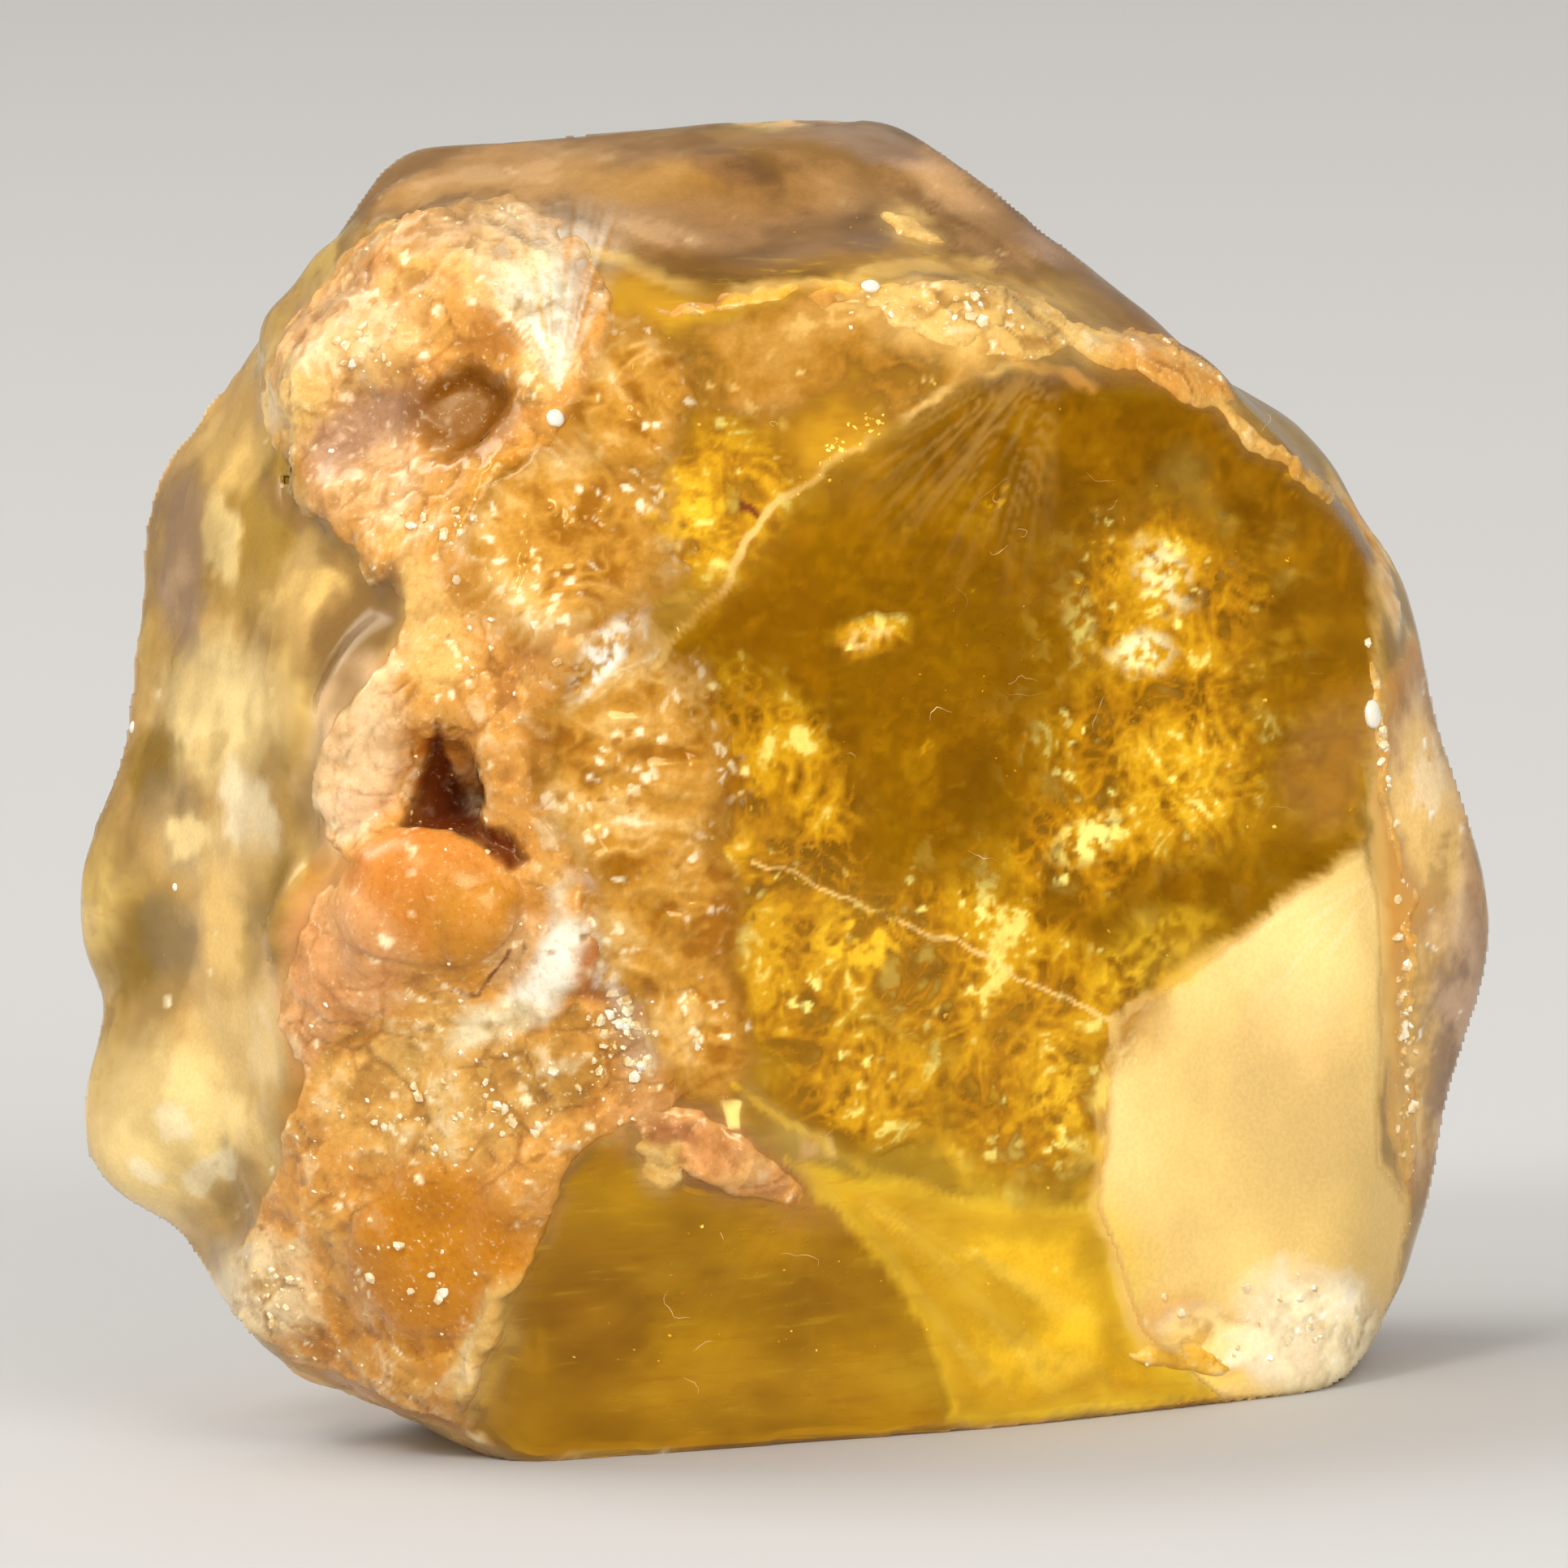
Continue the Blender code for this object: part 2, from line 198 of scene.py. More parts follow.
# Patches of colour on the front: across, height, half width, half height, turn in degrees, colour,
# strength.
PATCHES = {
    "olive_upper": (-9.5, 19.1, 0.8, 1.4, -10, "olive", 0.9),
    "olive_middle": (-10.0, 17.6, 0.8, 0.8, 0, "olive", 0.6),
    "honey_arm": (-8.9, 17.3, 1.1, 0.4, 38, "butter", 0.7),
    "grey_hollow": (-7.8, 16.5, 0.8, 1.4, -40, "umber", 0.9),
    "cream_vein": (-10.5, 18.6, 0.3, 1.0, 10, "milk_pale", 0.6),
    "honey_top": (-9.9, 20.6, 0.8, 1.2, -25, "butter", 0.8),
    "yellow_body": (-10.7, 15.2, 1.3, 1.3, 0, "milk_pale", 0.9),
    # Painted sheen along the left rim.
    "mauve_side_sheen": (-11.3, 18.1, 0.5, 1.8, 0, "mauve", 0.6),
    "brown_eye": (-10.9, 14.3, 0.4, 0.2, 0, "honey_dark", 0.3),
    "olive_low": (-12.2, 14.1, 0.6, 0.7, 0, "olive", 0.9),
    "grey_low": (-11.7, 13.0, 0.6, 1.0, 0, "taupe", 0.6),
    "cream_heart": (-10.2, 13.0, 0.5, 1.0, 5, "cream", 0.7),
    "cream_spot": (-11.5, 12.8, 0.5, 0.4, 0, "milk_pale", 0.7),
    "tan_low": (-10.6, 11.2, 0.6, 1.4, -15, "butter", 0.7),
    "umber_low": (-12.7, 10.5, 0.7, 1.0, 0, "olive", 0.9),
    "grey_pale": (-12.0, 10.8, 0.5, 0.8, 0, "taupe", 0.6),
    "olive_slit": (-10.0, 11.0, 0.4, 1.3, -20, "olive", 0.6),
    "lobe": (-12.6, 7.0, 1.7, 1.7, 0, "milk_pale", 0.9),
    "lobe_dot_low": (-12.8, 6.2, 0.35, 0.35, 0, "cream", 0.8),
    "lobe_dot_high": (-12.0, 7.2, 0.3, 0.4, 0, "cream", 0.7),
    "lobe_dot_middle": (-11.7, 6.0, 0.25, 0.35, 0, "cream", 0.7),
    "lobe_dot_right": (-11.2, 6.1, 0.35, 0.35, 0, "cream", 0.7),
    "toe": (-11.1, 3.6, 1.0, 1.0, -30, "cream", 0.5),
    "crust_upper": (-7.7, 22.1, 1.6, 1.2, 30, "peach", 0.8),
    "cream_upper": (-8.6, 21.0, 0.5, 1.0, 0, "butter", 0.8),
    "fan": (-4.1, 23.2, 0.8, 1.1, 25, "cream", 1.0),
    "fan_low": (-3.8, 21.7, 0.45, 1.0, -5, "butter", 0.8),
    "fan_halo": (-4.9, 24.1, 1.6, 0.7, -5, "tan", 0.9),
    "band_left": (-4.9, 25.0, 2.4, 0.6, 5, "honey_dark", 0.6),
    "mauve_hollow": (-7.4, 20.3, 1.1, 0.6, 25, "mauve_dark", 0.8),
    "oval_pit": (-5.4, 20.6, 1.15, 0.85, 0, "pit", 1.0),
    "peach_bank": (-7.3, 19.3, 1.2, 0.8, 0, "peach", 0.9),
    "amber_glass": (-4.5, 18.5, 1.5, 1.3, 0, "amber", 0.9),
    "amber_right": (-5.0, 17.2, 1.0, 1.0, 0, "amber", 0.6),
    "cream_stream": (-6.3, 16.5, 0.6, 1.4, 15, "butter", 0.7),
    "finger": (-3.1, 15.6, 0.9, 0.35, 40, "cream", 1.0),
    "pale_right": (-2.3, 17.7, 0.7, 1.0, -20, "tan", 0.8),
    "pale_left": (-8.0, 14.0, 0.9, 1.8, -15, "peach_pale", 1.0),
    # The cave and the hole are darkened with painted shade.
    "cave": (-6.6, 13.8, 0.4, 0.6, -10, "ember", 0.9),
    "hole": (-6.2, 12.9, 0.6, 0.6, 0, "deep", 0.9),
    "hole_slit": (-5.3, 12.1, 0.4, 0.2, -45, "deep", 1.0),
    "bead": (-6.7, 11.3, 1.5, 1.1, 0, "orange", 1.0),
    "bead_gold": (-5.8, 10.5, 1.0, 1.1, 0, "amber", 0.8),
    "salmon_bank": (-8.5, 10.3, 1.3, 1.3, 0, "salmon", 1.0),
    "salmon_low": (-9.3, 8.8, 0.6, 1.0, 0, "salmon", 0.9),
    "pale_bank": (-5.0, 10.1, 0.7, 0.8, -20, "peach", 0.9),
    "white_tail": (-5.5, 8.7, 0.9, 0.35, 20, "cream", 0.8),
    "rust_glass": (-3.0, 9.5, 0.9, 0.6, -20, "rust", 0.8),
    "glass_mess": (-2.9, 13.2, 1.5, 2.4, 15, "amber", 0.7),
    "round_glass": (-2.3, 11.1, 0.7, 0.7, 0, "honey_dark", 0.7),
    "low_apricot": (-6.6, 7.5, 2.4, 1.4, 0, "butter", 0.5),
    "low_rust": (-4.4, 8.0, 1.0, 1.0, 0, "honey_dark", 0.6),
    "low_amber": (-7.2, 4.3, 1.8, 1.6, 0, "amber_deep", 0.95),
    "foot_amber": (-8.0, 2.3, 1.9, 0.6, -25, "amber", 0.8),
    "toe_mottle": (-10.6, 3.8, 1.0, 1.1, 0, "cream", 0.5),
    "seam_high": (-4.6, 5.4, 0.3, 1.2, -20, "apricot", 0.9),
    "seam_low": (-6.2, 2.3, 0.5, 1.5, -20, "butter", 0.9),
    "fragment": (-1.5, 5.8, 2.1, 0.8, -33, "salmon", 0.9),
    "fragment_foot": (-2.6, 5.8, 0.4, 0.6, 10, "butter", 0.9),
    "red_fleck": (-2.3, 6.2, 0.5, 0.2, -30, "rust", 0.8),
    "mauve_glints": (-2.9, 8.4, 0.6, 1.0, 0, "mauve", 0.6),
    "band_gold": (-1.6, 25.0, 1.6, 0.6, 0, "honey_dark", 0.6),
    "band_brown": (0.4, 23.8, 2.3, 1.1, -5, "umber_dark", 0.8),
    "band_streak": (0.0, 25.0, 0.9, 0.35, -30, "plum", 0.8),
    "band_low": (0.5, 23.1, 1.9, 0.5, -5, "umber_dark", 0.9),
    "band_spot": (2.6, 23.6, 0.5, 0.4, -20, "plum", 0.8),
    # Painted sheen along the top rim.
    "mauve_top_sheen": (3.3, 25.4, 1.9, 0.5, -20, "mauve", 0.8),
    "tan_top": (4.5, 24.6, 1.0, 0.6, -30, "peach", 0.6),
    "plum_right": (5.4, 23.7, 0.9, 0.4, -30, "plum", 0.5),
    "cream_crumb": (3.6, 23.6, 0.8, 0.4, -25, "butter", 0.9),
    # Painted sheen along the upper right rim.
    "mauve_right_sheen": (6.8, 22.7, 1.4, 0.4, -32, "mauve", 0.8),
    "olive_right": (6.6, 21.9, 1.0, 0.4, -32, "olive", 0.5),
    "brow": (4.8, 21.6, 2.6, 0.9, -12, "butter", 0.9),
    "brow_right": (6.3, 21.1, 0.7, 0.5, -40, "butter", 0.9),
    "brow_line": (1.0, 22.4, 2.1, 0.2, 3, "sun", 0.6),
    "under_brow": (-0.2, 21.3, 1.8, 0.8, 10, "honey_dark", 0.6),
    "gold_pool": (-1.1, 18.3, 0.8, 0.8, 0, "sun", 0.7),
    "brown_pool": (0.2, 20.1, 1.0, 0.8, 0, "brown", 0.6),
    "shelf": (2.2, 19.2, 2.4, 0.35, 33, "honey_dark", 0.4),
    "dark_beak": (5.7, 20.45, 1.2, 0.22, -5, "mauve", 0.5),
    "shoulder": (8.4, 20.7, 1.0, 0.7, -25, "apricot", 0.8),
    "shoulder_line": (10.2, 18.8, 1.8, 0.3, -40, "butter", 0.7),
    "amber_shade": (0.2, 16.2, 1.4, 1.6, 30, "amber_dark", 0.6),
    "right_shade": (11.2, 16.0, 1.1, 2.4, 15, "gold", 0.6),
    "lower_shade": (3.3, 13.8, 1.9, 1.3, 0, "brown", 0.4),
    "haze": (8.4, 17.9, 0.9, 0.8, 60, "lemon", 0.5),
    "cluster_high": (8.1, 16.0, 1.5, 1.5, 0, "sun", 0.8),
    "cluster_middle": (7.6, 13.0, 1.8, 1.6, 0, "sun", 0.8),
    "cluster_low": (6.0, 11.5, 0.8, 0.7, 20, "lemon", 0.8),
    "cluster_small": (9.1, 11.9, 1.0, 1.0, 0, "sun", 0.6),
    "milky_smear": (10.9, 12.7, 0.9, 1.3, -30, "milk_tan", 0.5),
    "dark_pocket": (8.4, 9.9, 0.7, 0.6, 0, "gold_dark", 0.7),
    "sun_spot": (7.3, 9.1, 1.3, 0.8, 20, "lemon_dark", 1.0),
    "amber_lump": (1.5, 9.7, 0.7, 0.8, 0, "sun", 1.0),
    "gold_field": (3.8, 8.9, 3.2, 1.8, 0, "gold", 0.5),
    "low_cluster": (4.7, 6.9, 1.4, 1.3, 0, "sun", 0.8),
    "olive_pool": (1.7, 7.1, 1.3, 1.0, 0, "gold", 0.9),
    "low_gold": (2.7, 5.0, 1.9, 1.3, -30, "sun", 0.8),
    "yellow_heart": (4.5, 2.9, 2.1, 2.1, 0, "lemon_dark", 0.7),
    "yellow_low": (3.2, 1.1, 1.9, 0.6, 0, "sun", 0.6),
    "rust_low": (7.1, 1.9, 0.8, 0.6, 0, "apricot", 0.5),
    "brown_left": (-4.1, 2.7, 1.0, 1.8, 0, "brown", 0.8),
    "brown_middle": (-1.4, 3.5, 1.9, 1.4, 0, "olive_dark", 0.5),
    "pale_base": (-1.6, 1.1, 2.8, 0.7, 0, "gold", 0.7),
    "milk_low": (9.9, 1.5, 1.6, 1.2, -20, "white", 0.8),
    "gold_low": (7.4, 1.0, 1.3, 0.6, -12, "lemon_dark", 0.5),
    "milk_heart": (7.6, 7.0, 1.1, 1.1, 0, "milk", 0.8),
    "milk_tan": (10.0, 6.4, 1.3, 2.2, 0, "tan", 0.3),
    "strip_middle": (12.8, 11.5, 0.6, 1.9, 0, "butter", 0.9),
    "strip_low": (12.3, 6.7, 0.6, 2.4, -8, "butter", 0.7),
    # Painted sheen along the right rim.
    "edge": (13.3, 6.9, 0.6, 2.9, -8, "mauve", 0.9),
}

# Pale or dark lines on the front: colour, strength, half width in millimetres, and the points they run
# through.
LINES = {
    "crack": ("butter", 0.7, 0.035, [(-0.4, 11.5), (2.2, 10.15), (3.4, 9.6), (4.5, 8.8), (6.4, 7.95)]),
    "window_crest": ("butter", 0.6, 0.08, [(-2.2, 15.3), (-0.9, 16.6), (0.1, 17.9), (1.9, 19.3),
                                           (3.7, 20.2), (5.4, 20.9)]),
    "window_peak": ("apricot", 0.7, 0.12, [(5.4, 20.9), (6.8, 20.2)]),
    "milky_crest": ("butter", 0.6, 0.1, [(6.4, 7.9), (8.0, 8.8), (9.6, 9.8), (11.6, 11.0)]),
    "milky_left": ("butter", 0.7, 0.14, [(6.4, 7.9), (6.0, 5.9), (5.7, 4.3), (6.1, 3.0), (6.5, 1.6),
                                         (7.2, 1.4)]),
    "foot_split": ("sun", 0.4, 0.08, [(-0.2, 5.7), (0.7, 4.6), (1.6, 3.4), (2.4, 1.9), (2.8, 0.4)]),
    "foot_crest": ("sun", 0.35, 0.08, [(-1.2, 7.2), (0.6, 5.8), (1.9, 5.0), (4.2, 4.4)]),
    "band_crest": ("butter", 0.6, 0.12, [(-3.2, 23.6), (-0.9, 22.75), (2.1, 22.5), (2.8, 22.8), (4.9, 22.8)]),
    "strip_edge": ("butter", 0.6, 0.12, [(12.2, 16.7), (12.1, 14.0), (11.9, 11.0), (11.8, 7.0), (12.0, 3.9)]),
    "seam_side": ("umber", 0.6, 0.12, [(-3.7, 6.3), (-4.5, 5.5), (-5.2, 3.6), (-6.0, 1.4)]),
    "left_shadow": ("umber", 0.5, 0.25, [(-9.4, 19.4), (-8.2, 18.1), (-7.2, 16.9), (-8.0, 15.3),
                                         (-9.0, 13.2), (-8.8, 12.0)]),
    "hole_crack": ("deep", 0.8, 0.1, [(-6.3, 14.2), (-6.2, 13.2), (-5.4, 12.3), (-4.9, 11.8)]),
    "crescent": ("white", 0.95, 0.42, [(-4.0, 11.0), (-4.1, 10.3), (-4.4, 9.5), (-4.9, 9.0)]),
    "crescent_tail": ("cream", 0.8, 0.3, [(-4.8, 9.0), (-5.4, 8.7), (-6.2, 8.5)]),
    "bead_crack": ("deep", 0.9, 0.05, [(-5.4, 10.1), (-5.6, 9.7), (-5.85, 9.2), (-6.4, 9.35)]),
    "crest_nick": ("deep", 0.8, 0.06, [(-0.5, 18.5), (-0.3, 18.2), (0.0, 18.0)]),
}


def ring(across, height, wide, tall, turn, corners=20):
    """An oval outline around a place."""
    cos, sin = math.cos(math.radians(turn)), math.sin(math.radians(turn))
    steps = [math.tau * step / corners for step in range(corners)]
    ovals = [(wide * math.cos(step), tall * math.sin(step)) for step in steps]
    return [(across + x * cos - y * sin, height + x * sin + y * cos) for x, y in ovals]


# The crusts on the crystal's front: how uneven they are in millimetres, and their outlines in (across,
# height).
CRUSTS = {
    "left_crust": (0.11, [
        [(-9.5, 21.7), (-9.4, 20.3), (-9.0, 19.7), (-9.1, 19.1), (-8.4, 18.5), (-7.9, 18.0), (-7.8, 17.5),
         (-7.0, 16.8), (-7.1, 16.1), (-7.9, 15.4), (-8.5, 14.5), (-8.9, 13.3), (-8.8, 12.5), (-8.3, 11.8),
         (-8.9, 11.3), (-9.7, 10.2), (-10.1, 9.0), (-9.5, 7.8), (-10.2, 6.7), (-10.5, 5.6), (-11.3, 4.3),
         (-11.4, 3.0), (-10.3, 2.2), (-8.9, 1.6), (-6.9, 0.6), (-6.5, 1.3), (-5.5, 3.6), (-4.3, 5.7),
         (-3.6, 6.3), (-2.6, 6.6), (-1.9, 6.9), (-1.4, 7.8), (-2.0, 9.2), (-2.9, 10.2), (-3.4, 11.3),
         (-4.1, 12.4), (-4.0, 13.8), (-3.8, 15.0), (-3.2, 15.6), (-2.2, 16.2), (-2.4, 16.9), (-3.6, 16.6),
         (-4.7, 16.9), (-5.5, 18.0), (-4.9, 19.2), (-3.6, 19.8), (-2.8, 20.6), (-2.4, 21.6), (-2.3, 22.5),
         (-2.8, 24.1), (-4.3, 24.9), (-5.9, 24.8), (-7.4, 24.2), (-8.8, 22.9)],
    ]),
    "ridge_crust": (0.08, [
        ring(4.7, 21.7, 2.3, 0.8, -12),
        ring(2.2, 22.3, 1.2, 0.4, 5),
        ring(7.0, 21.1, 1.0, 0.5, -35),
        ring(8.5, 20.5, 1.4, 0.6, -35),
        ring(10.3, 18.8, 1.7, 0.32, -42),
        ring(0.6, 22.45, 2.6, 0.28, 2),
        ring(3.6, 23.6, 0.9, 0.38, -25),
        ring(12.1, 12.4, 0.25, 2.6, 3),
        ring(12.25, 7.0, 0.32, 3.4, -3),
        ring(7.3, 1.1, 1.2, 0.4, -12),
        ring(-1.5, 5.8, 2.0, 0.7, -33),
        ring(-2.6, 5.8, 0.5, 0.7, 10),
    ]),
}


def veil(colours, shape, step=0.08, **manner):
    """The width of a veil's squares, and what its look is told: its colours, from the deepest to the
    brightest, its shape (ovals, or one outline), relief, curl (size of its curls), curly (how curly it is),
    the share of bright specks painted on as highlights, rough, body (how solid it is at its deepest and at
    its brightest), patchy (how strongly the patches below it show) and fade (width of its soft edge)."""
    usual = {"relief": 0.0, "curl": 1.5, "curly": 0.3, "glints": 0.03, "rough": 0.25, "body": (0.3, 1.0),
             "patchy": 0.3, "fade": 0.4}
    return step, {"colours": colours, "shape": shape, **usual, **manner}


# Curling veils in and on the clear faces.
VEILS = {
    "crust_veil": veil(("mess_dark", "mess", "mess_pale", "cream"), [
        (-2.7, 13.4, 2.2, 3.3, 12),
        (-2.2, 10.6, 1.8, 2.4, 0),
        (-1.8, 8.4, 1.2, 1.9, 10),
        (-3.6, 17.8, 2.6, 2.2, 20),
        (-2.2, 20.4, 1.3, 2.0, -10),
    ], step=0.05, relief=0.18, curl=1.1, curly=0.75, glints=0.22, rough=0.14, body=(0.8, 1.0), patchy=0.0),
    "gold_veil": veil(("veil_dark", "veil", "veil_pale", "lemon_pale"), [
        (8.0, 15.8, 2.4, 2.8, 20),
        (7.6, 13.0, 2.9, 2.8, 0),
        (6.1, 11.3, 2.4, 1.6, 20),
        (3.8, 9.0, 4.4, 2.2, -20),
        (4.5, 6.8, 2.0, 2.4, 0),
        (0.0, 12.6, 2.2, 3.6, 25),
        (0.3, 9.4, 2.0, 2.4, 0),
        (-0.7, 18.4, 2.3, 1.8, 30),
        (2.1, 15.6, 0.9, 0.6, -10),
        (1.5, 7.0, 2.2, 1.6, -20),
    ], step=0.06, relief=0.04, curl=0.7, curly=0.8, glints=0.08, rough=0.3, body=(0.35, 1.0), patchy=0.0),
    "honey_veil": veil(("honey_shade", "veil_honey", "honey_pale", "butter"), [
        (0.6, 21.2, 3.4, 1.5, 8),
        (3.6, 21.0, 2.4, 1.2, 25),
    ], relief=0.04, curl=1.1, curly=0.6, glints=0.05, rough=0.3),
    "band_veil": veil(("umber_dark", "band_brown", "band_pale", "tan"), [
        (-0.8, 24.4, 5.2, 1.6, 3),
        (-4.6, 25.2, 3.4, 1.0, 8),
        (4.6, 23.9, 3.0, 1.2, -30),
    ], relief=0.03, curly=0.4, body=(0.5, 1.0), patchy=0.7),
    "left_veil": veil(("olive_shade", "left_honey", "milk_pale", "cream"), [
        (-10.2, 18.4, 2.2, 3.9, -15),
        (-8.0, 16.7, 1.5, 2.2, -20),
        (-11.0, 13.6, 2.6, 3.8, 0),
        (-11.2, 9.6, 2.6, 3.2, 0),
        (-12.0, 6.4, 2.6, 2.6, 0),
    ], relief=0.03, curl=2.2, curly=0.15, glints=0.02, rough=0.22, body=(0.6, 1.0), patchy=1.0),
    "strip_veil": veil(("strip_shade", "tan", "strip_pale", "white"), [
        (12.9, 11.6, 1.0, 3.4, 5),
        (12.9, 7.2, 1.2, 4.2, -5),
    ], step=0.06, relief=0.04, curl=1.0, curly=0.35, glints=0.06, rough=0.3, body=(0.5, 1.0), patchy=0.8),
    "window_veil": veil(("window_dark", "veil_dark", "window_pale", "veil_pale"), REGIONS["window"][-1],
        step=0.09, curl=0.9, curly=0.7, glints=0.04, rough=0.12, body=(0.2, 0.4), patchy=0.1, fade=1.0),
    "yellow_veil": veil(("gold_dark", "veil_pale", "lemon_dark", "lemon"), REGIONS["yellow_foot"][-1],
        curl=1.9, curly=0.2, rough=0.2, body=(0.3, 1.0), patchy=0.6, fade=2.0),
    "milky_veil": veil(("milk", "milk", "milk_pale", "milk_pale"), REGIONS["milky"][-1],
        curl=3.0, curly=0.1, glints=0.01, rough=0.32, body=(0.9, 1.0), patchy=0.8),
    "corner_veil": veil(("milk", "milk_pale", "cream", "white"), [
        (9.9, 1.5, 1.9, 1.5, -20),
        (8.0, 1.5, 1.7, 0.8, -12),
    ], step=0.06, relief=0.06, curl=0.9, curly=0.4, glints=0.12, rough=0.32, body=(0.2, 1.0), patchy=0.5),
}
# Bright and dark places in the veils, the flashes being painted highlights: across, height, half width, half
# height, turn, colour, strength.
SPARKS = {
    "speck": (2.1, 15.6, 0.34, 0.2, -10, "butter", 1.0),
    # Painted highlights.
    "painted_flash": (7.5, 15.0, 0.6, 0.3, 0, "lemon_white", 0.9),
    "painted_flash_left": (6.2, 15.7, 0.3, 0.6, 20, "lemon_pale", 0.7),
    "painted_flash_high": (7.9, 16.5, 0.5, 0.7, 30, "lemon_white", 0.6),
    "curl": (6.2, 11.4, 0.7, 0.4, 20, "lemon_pale", 0.9),
    "sun_spot": (7.3, 9.1, 1.2, 0.6, 25, "lemon_dark", 0.9),
    "amber_lump": (1.5, 9.8, 0.7, 0.7, 0, "sun", 0.7),
    "low_sun": (5.4, 6.4, 0.7, 0.9, 0, "sun", 0.5),
    "middle_sun": (8.0, 12.6, 1.1, 1.0, 0, "sun", 0.4),
    "pool_sun": (-1.3, 18.3, 0.7, 0.6, 30, "sun", 0.6),
    "dark_left": (3.4, 13.6, 1.6, 1.6, 0, "veil_dark", 0.8),
    "olive_gold": (1.9, 7.2, 1.3, 0.8, 0, "gold_dark", 0.5),
    "dark_right": (9.6, 13.9, 0.9, 1.6, 0, "veil_dark", 0.5),
    "crescent_end": (-3.6, 9.3, 0.4, 0.8, 0, "white", 0.8),
    "finger": (-3.0, 15.7, 0.9, 0.3, 40, "white", 1.0),
    "round_glass": (-2.3, 10.9, 0.6, 0.6, 0, "honey_dark", 0.8),
}

# Fibres that fan out: colour, strength, heart (across, height), length, first and last heading in
# degrees, and how closely they lie.
RAYS = {
    "fan": ("white", 0.95, (-3.6, 20.8), 2.9, 56, 134, 0.5),
    "peak": ("butter", 0.25, (6.2, 21.2), 4.2, 192, 270, 0.6),
    "foot": ("gold", 0.5, (0.2, 5.4), 5.5, 195, 300, 0.3),
    "yellow": ("lemon", 0.1, (0.8, 5.2), 6.5, 285, 340, 0.3),
    "milky": ("cream", 0.1, (12.0, 10.5), 4.0, 190, 250, 0.3),
}
# Worn or melted places in the crust: across, height, half width, half height, turn, roughness, strength.
SMOOTHED = {
    "bead": (-6.6, 11.2, 1.8, 1.35, 10, 0.3, 1.0),
    "oval_pit": (-5.3, 20.6, 1.0, 0.8, 0, 0.4, 0.9),
    "mauve_hollow": (-7.4, 20.3, 1.1, 0.6, 25, 0.35, 0.5),
    "amber_glass": (-4.6, 18.3, 1.5, 1.4, 0, 0.18, 0.7),
    "stream": (-6.2, 16.3, 0.8, 1.6, 15, 0.3, 0.6),
    "low_amber": (-7.0, 4.2, 2.0, 1.6, 0, 0.14, 0.9),
    "white_patch": (-4.5, 9.9, 0.7, 1.3, -25, 0.35, 0.6),
    "salmon": (-8.4, 10.2, 1.3, 1.2, 0, 0.38, 0.5),
    "pale_left": (-8.0, 14.1, 0.8, 1.5, -15, 0.4, 0.5),
}
# Domes in the crust: across, height, half width, half height, turn, and how far they stand out.
DOMES = {
    "bead": (-6.7, 11.25, 1.75, 1.35, 5, 0.42),
    "bead_gold": (-5.6, 10.3, 0.9, 1.0, 0, 0.15),
    "seam": (-5.6, 3.5, 0.5, 2.8, -25, 0.3),
    "low_amber": (-7.0, 4.3, 1.9, 1.7, 0, 0.2),
    "white_patch": (-4.3, 9.9, 0.8, 1.3, -25, 0.25),
    "upper_bank": (-7.8, 21.8, 1.5, 1.1, 30, 0.25),
    "amber_glass": (-4.6, 18.3, 1.5, 1.3, 0, 0.15),
    "pale_left": (-8.0, 14.2, 0.9, 1.6, -15, 0.3),
    "salmon": (-8.5, 10.2, 1.1, 1.3, 0, 0.2),
}
# Holes in the crust: depth and softness of the rim in millimetres, colour of the painted shade in them and
# its strength, and outline.
HOLES = {
    "oval_pit": (0.35, 0.7, "pit", 0.8, ring(-5.4, 20.5, 1.0, 0.8, -5)),
    "mauve_hollow": (0.2, 1.1, "mauve_dark", 0.5,
        [(-8.6, 19.4), (-8.3, 20.2), (-7.4, 21.0), (-6.4, 21.2), (-6.4, 20.6), (-6.6, 20.0), (-7.5, 19.7)]),
    "cave": (0.4, 0.3, "deep", 0.9,
        [(-6.35, 14.5), (-6.75, 13.5), (-7.2, 12.5), (-6.2, 12.3), (-5.2, 12.0), (-5.9, 12.8), (-6.2, 13.5)]),
    "slit": (0.25, 0.3, "deep", 0.85, [(-5.4, 12.4), (-5.2, 12.4), (-4.8, 11.8), (-5.0, 11.7)]),
}
# Frosted places on the clear crystal: across, height, half width, half height, turn, clearness, roughness
# and strength.
FROSTED = {
    "smear": (11.0, 12.6, 0.9, 1.7, -30, 0.4, 0.3, 0.8),
    "hollow": (-8.1, 16.0, 1.1, 1.9, -34, 0.05, 0.6, 0.95),
}
# Golden places inside, the flakes' gold painted with painted glow where light is caught: across, height, half
# width, half height, turn, strength.
PAINTED_GLOWS = {
    "high": (8.1, 15.6, 2.4, 2.2, 20, 1.0),
    "middle": (7.6, 12.9, 2.6, 2.4, 0, 1.0),
    "low": (6.0, 11.4, 1.8, 1.4, 20, 0.8),
    "field": (4.0, 8.8, 4.6, 2.4, -20, 0.8),
    "low_cluster": (4.7, 6.6, 2.0, 1.9, 0, 1.0),
    "left_edge": (-1.6, 12.5, 1.4, 2.8, 30, 0.6),
    "pool": (-1.1, 18.0, 1.3, 1.3, 0, 0.7),
}
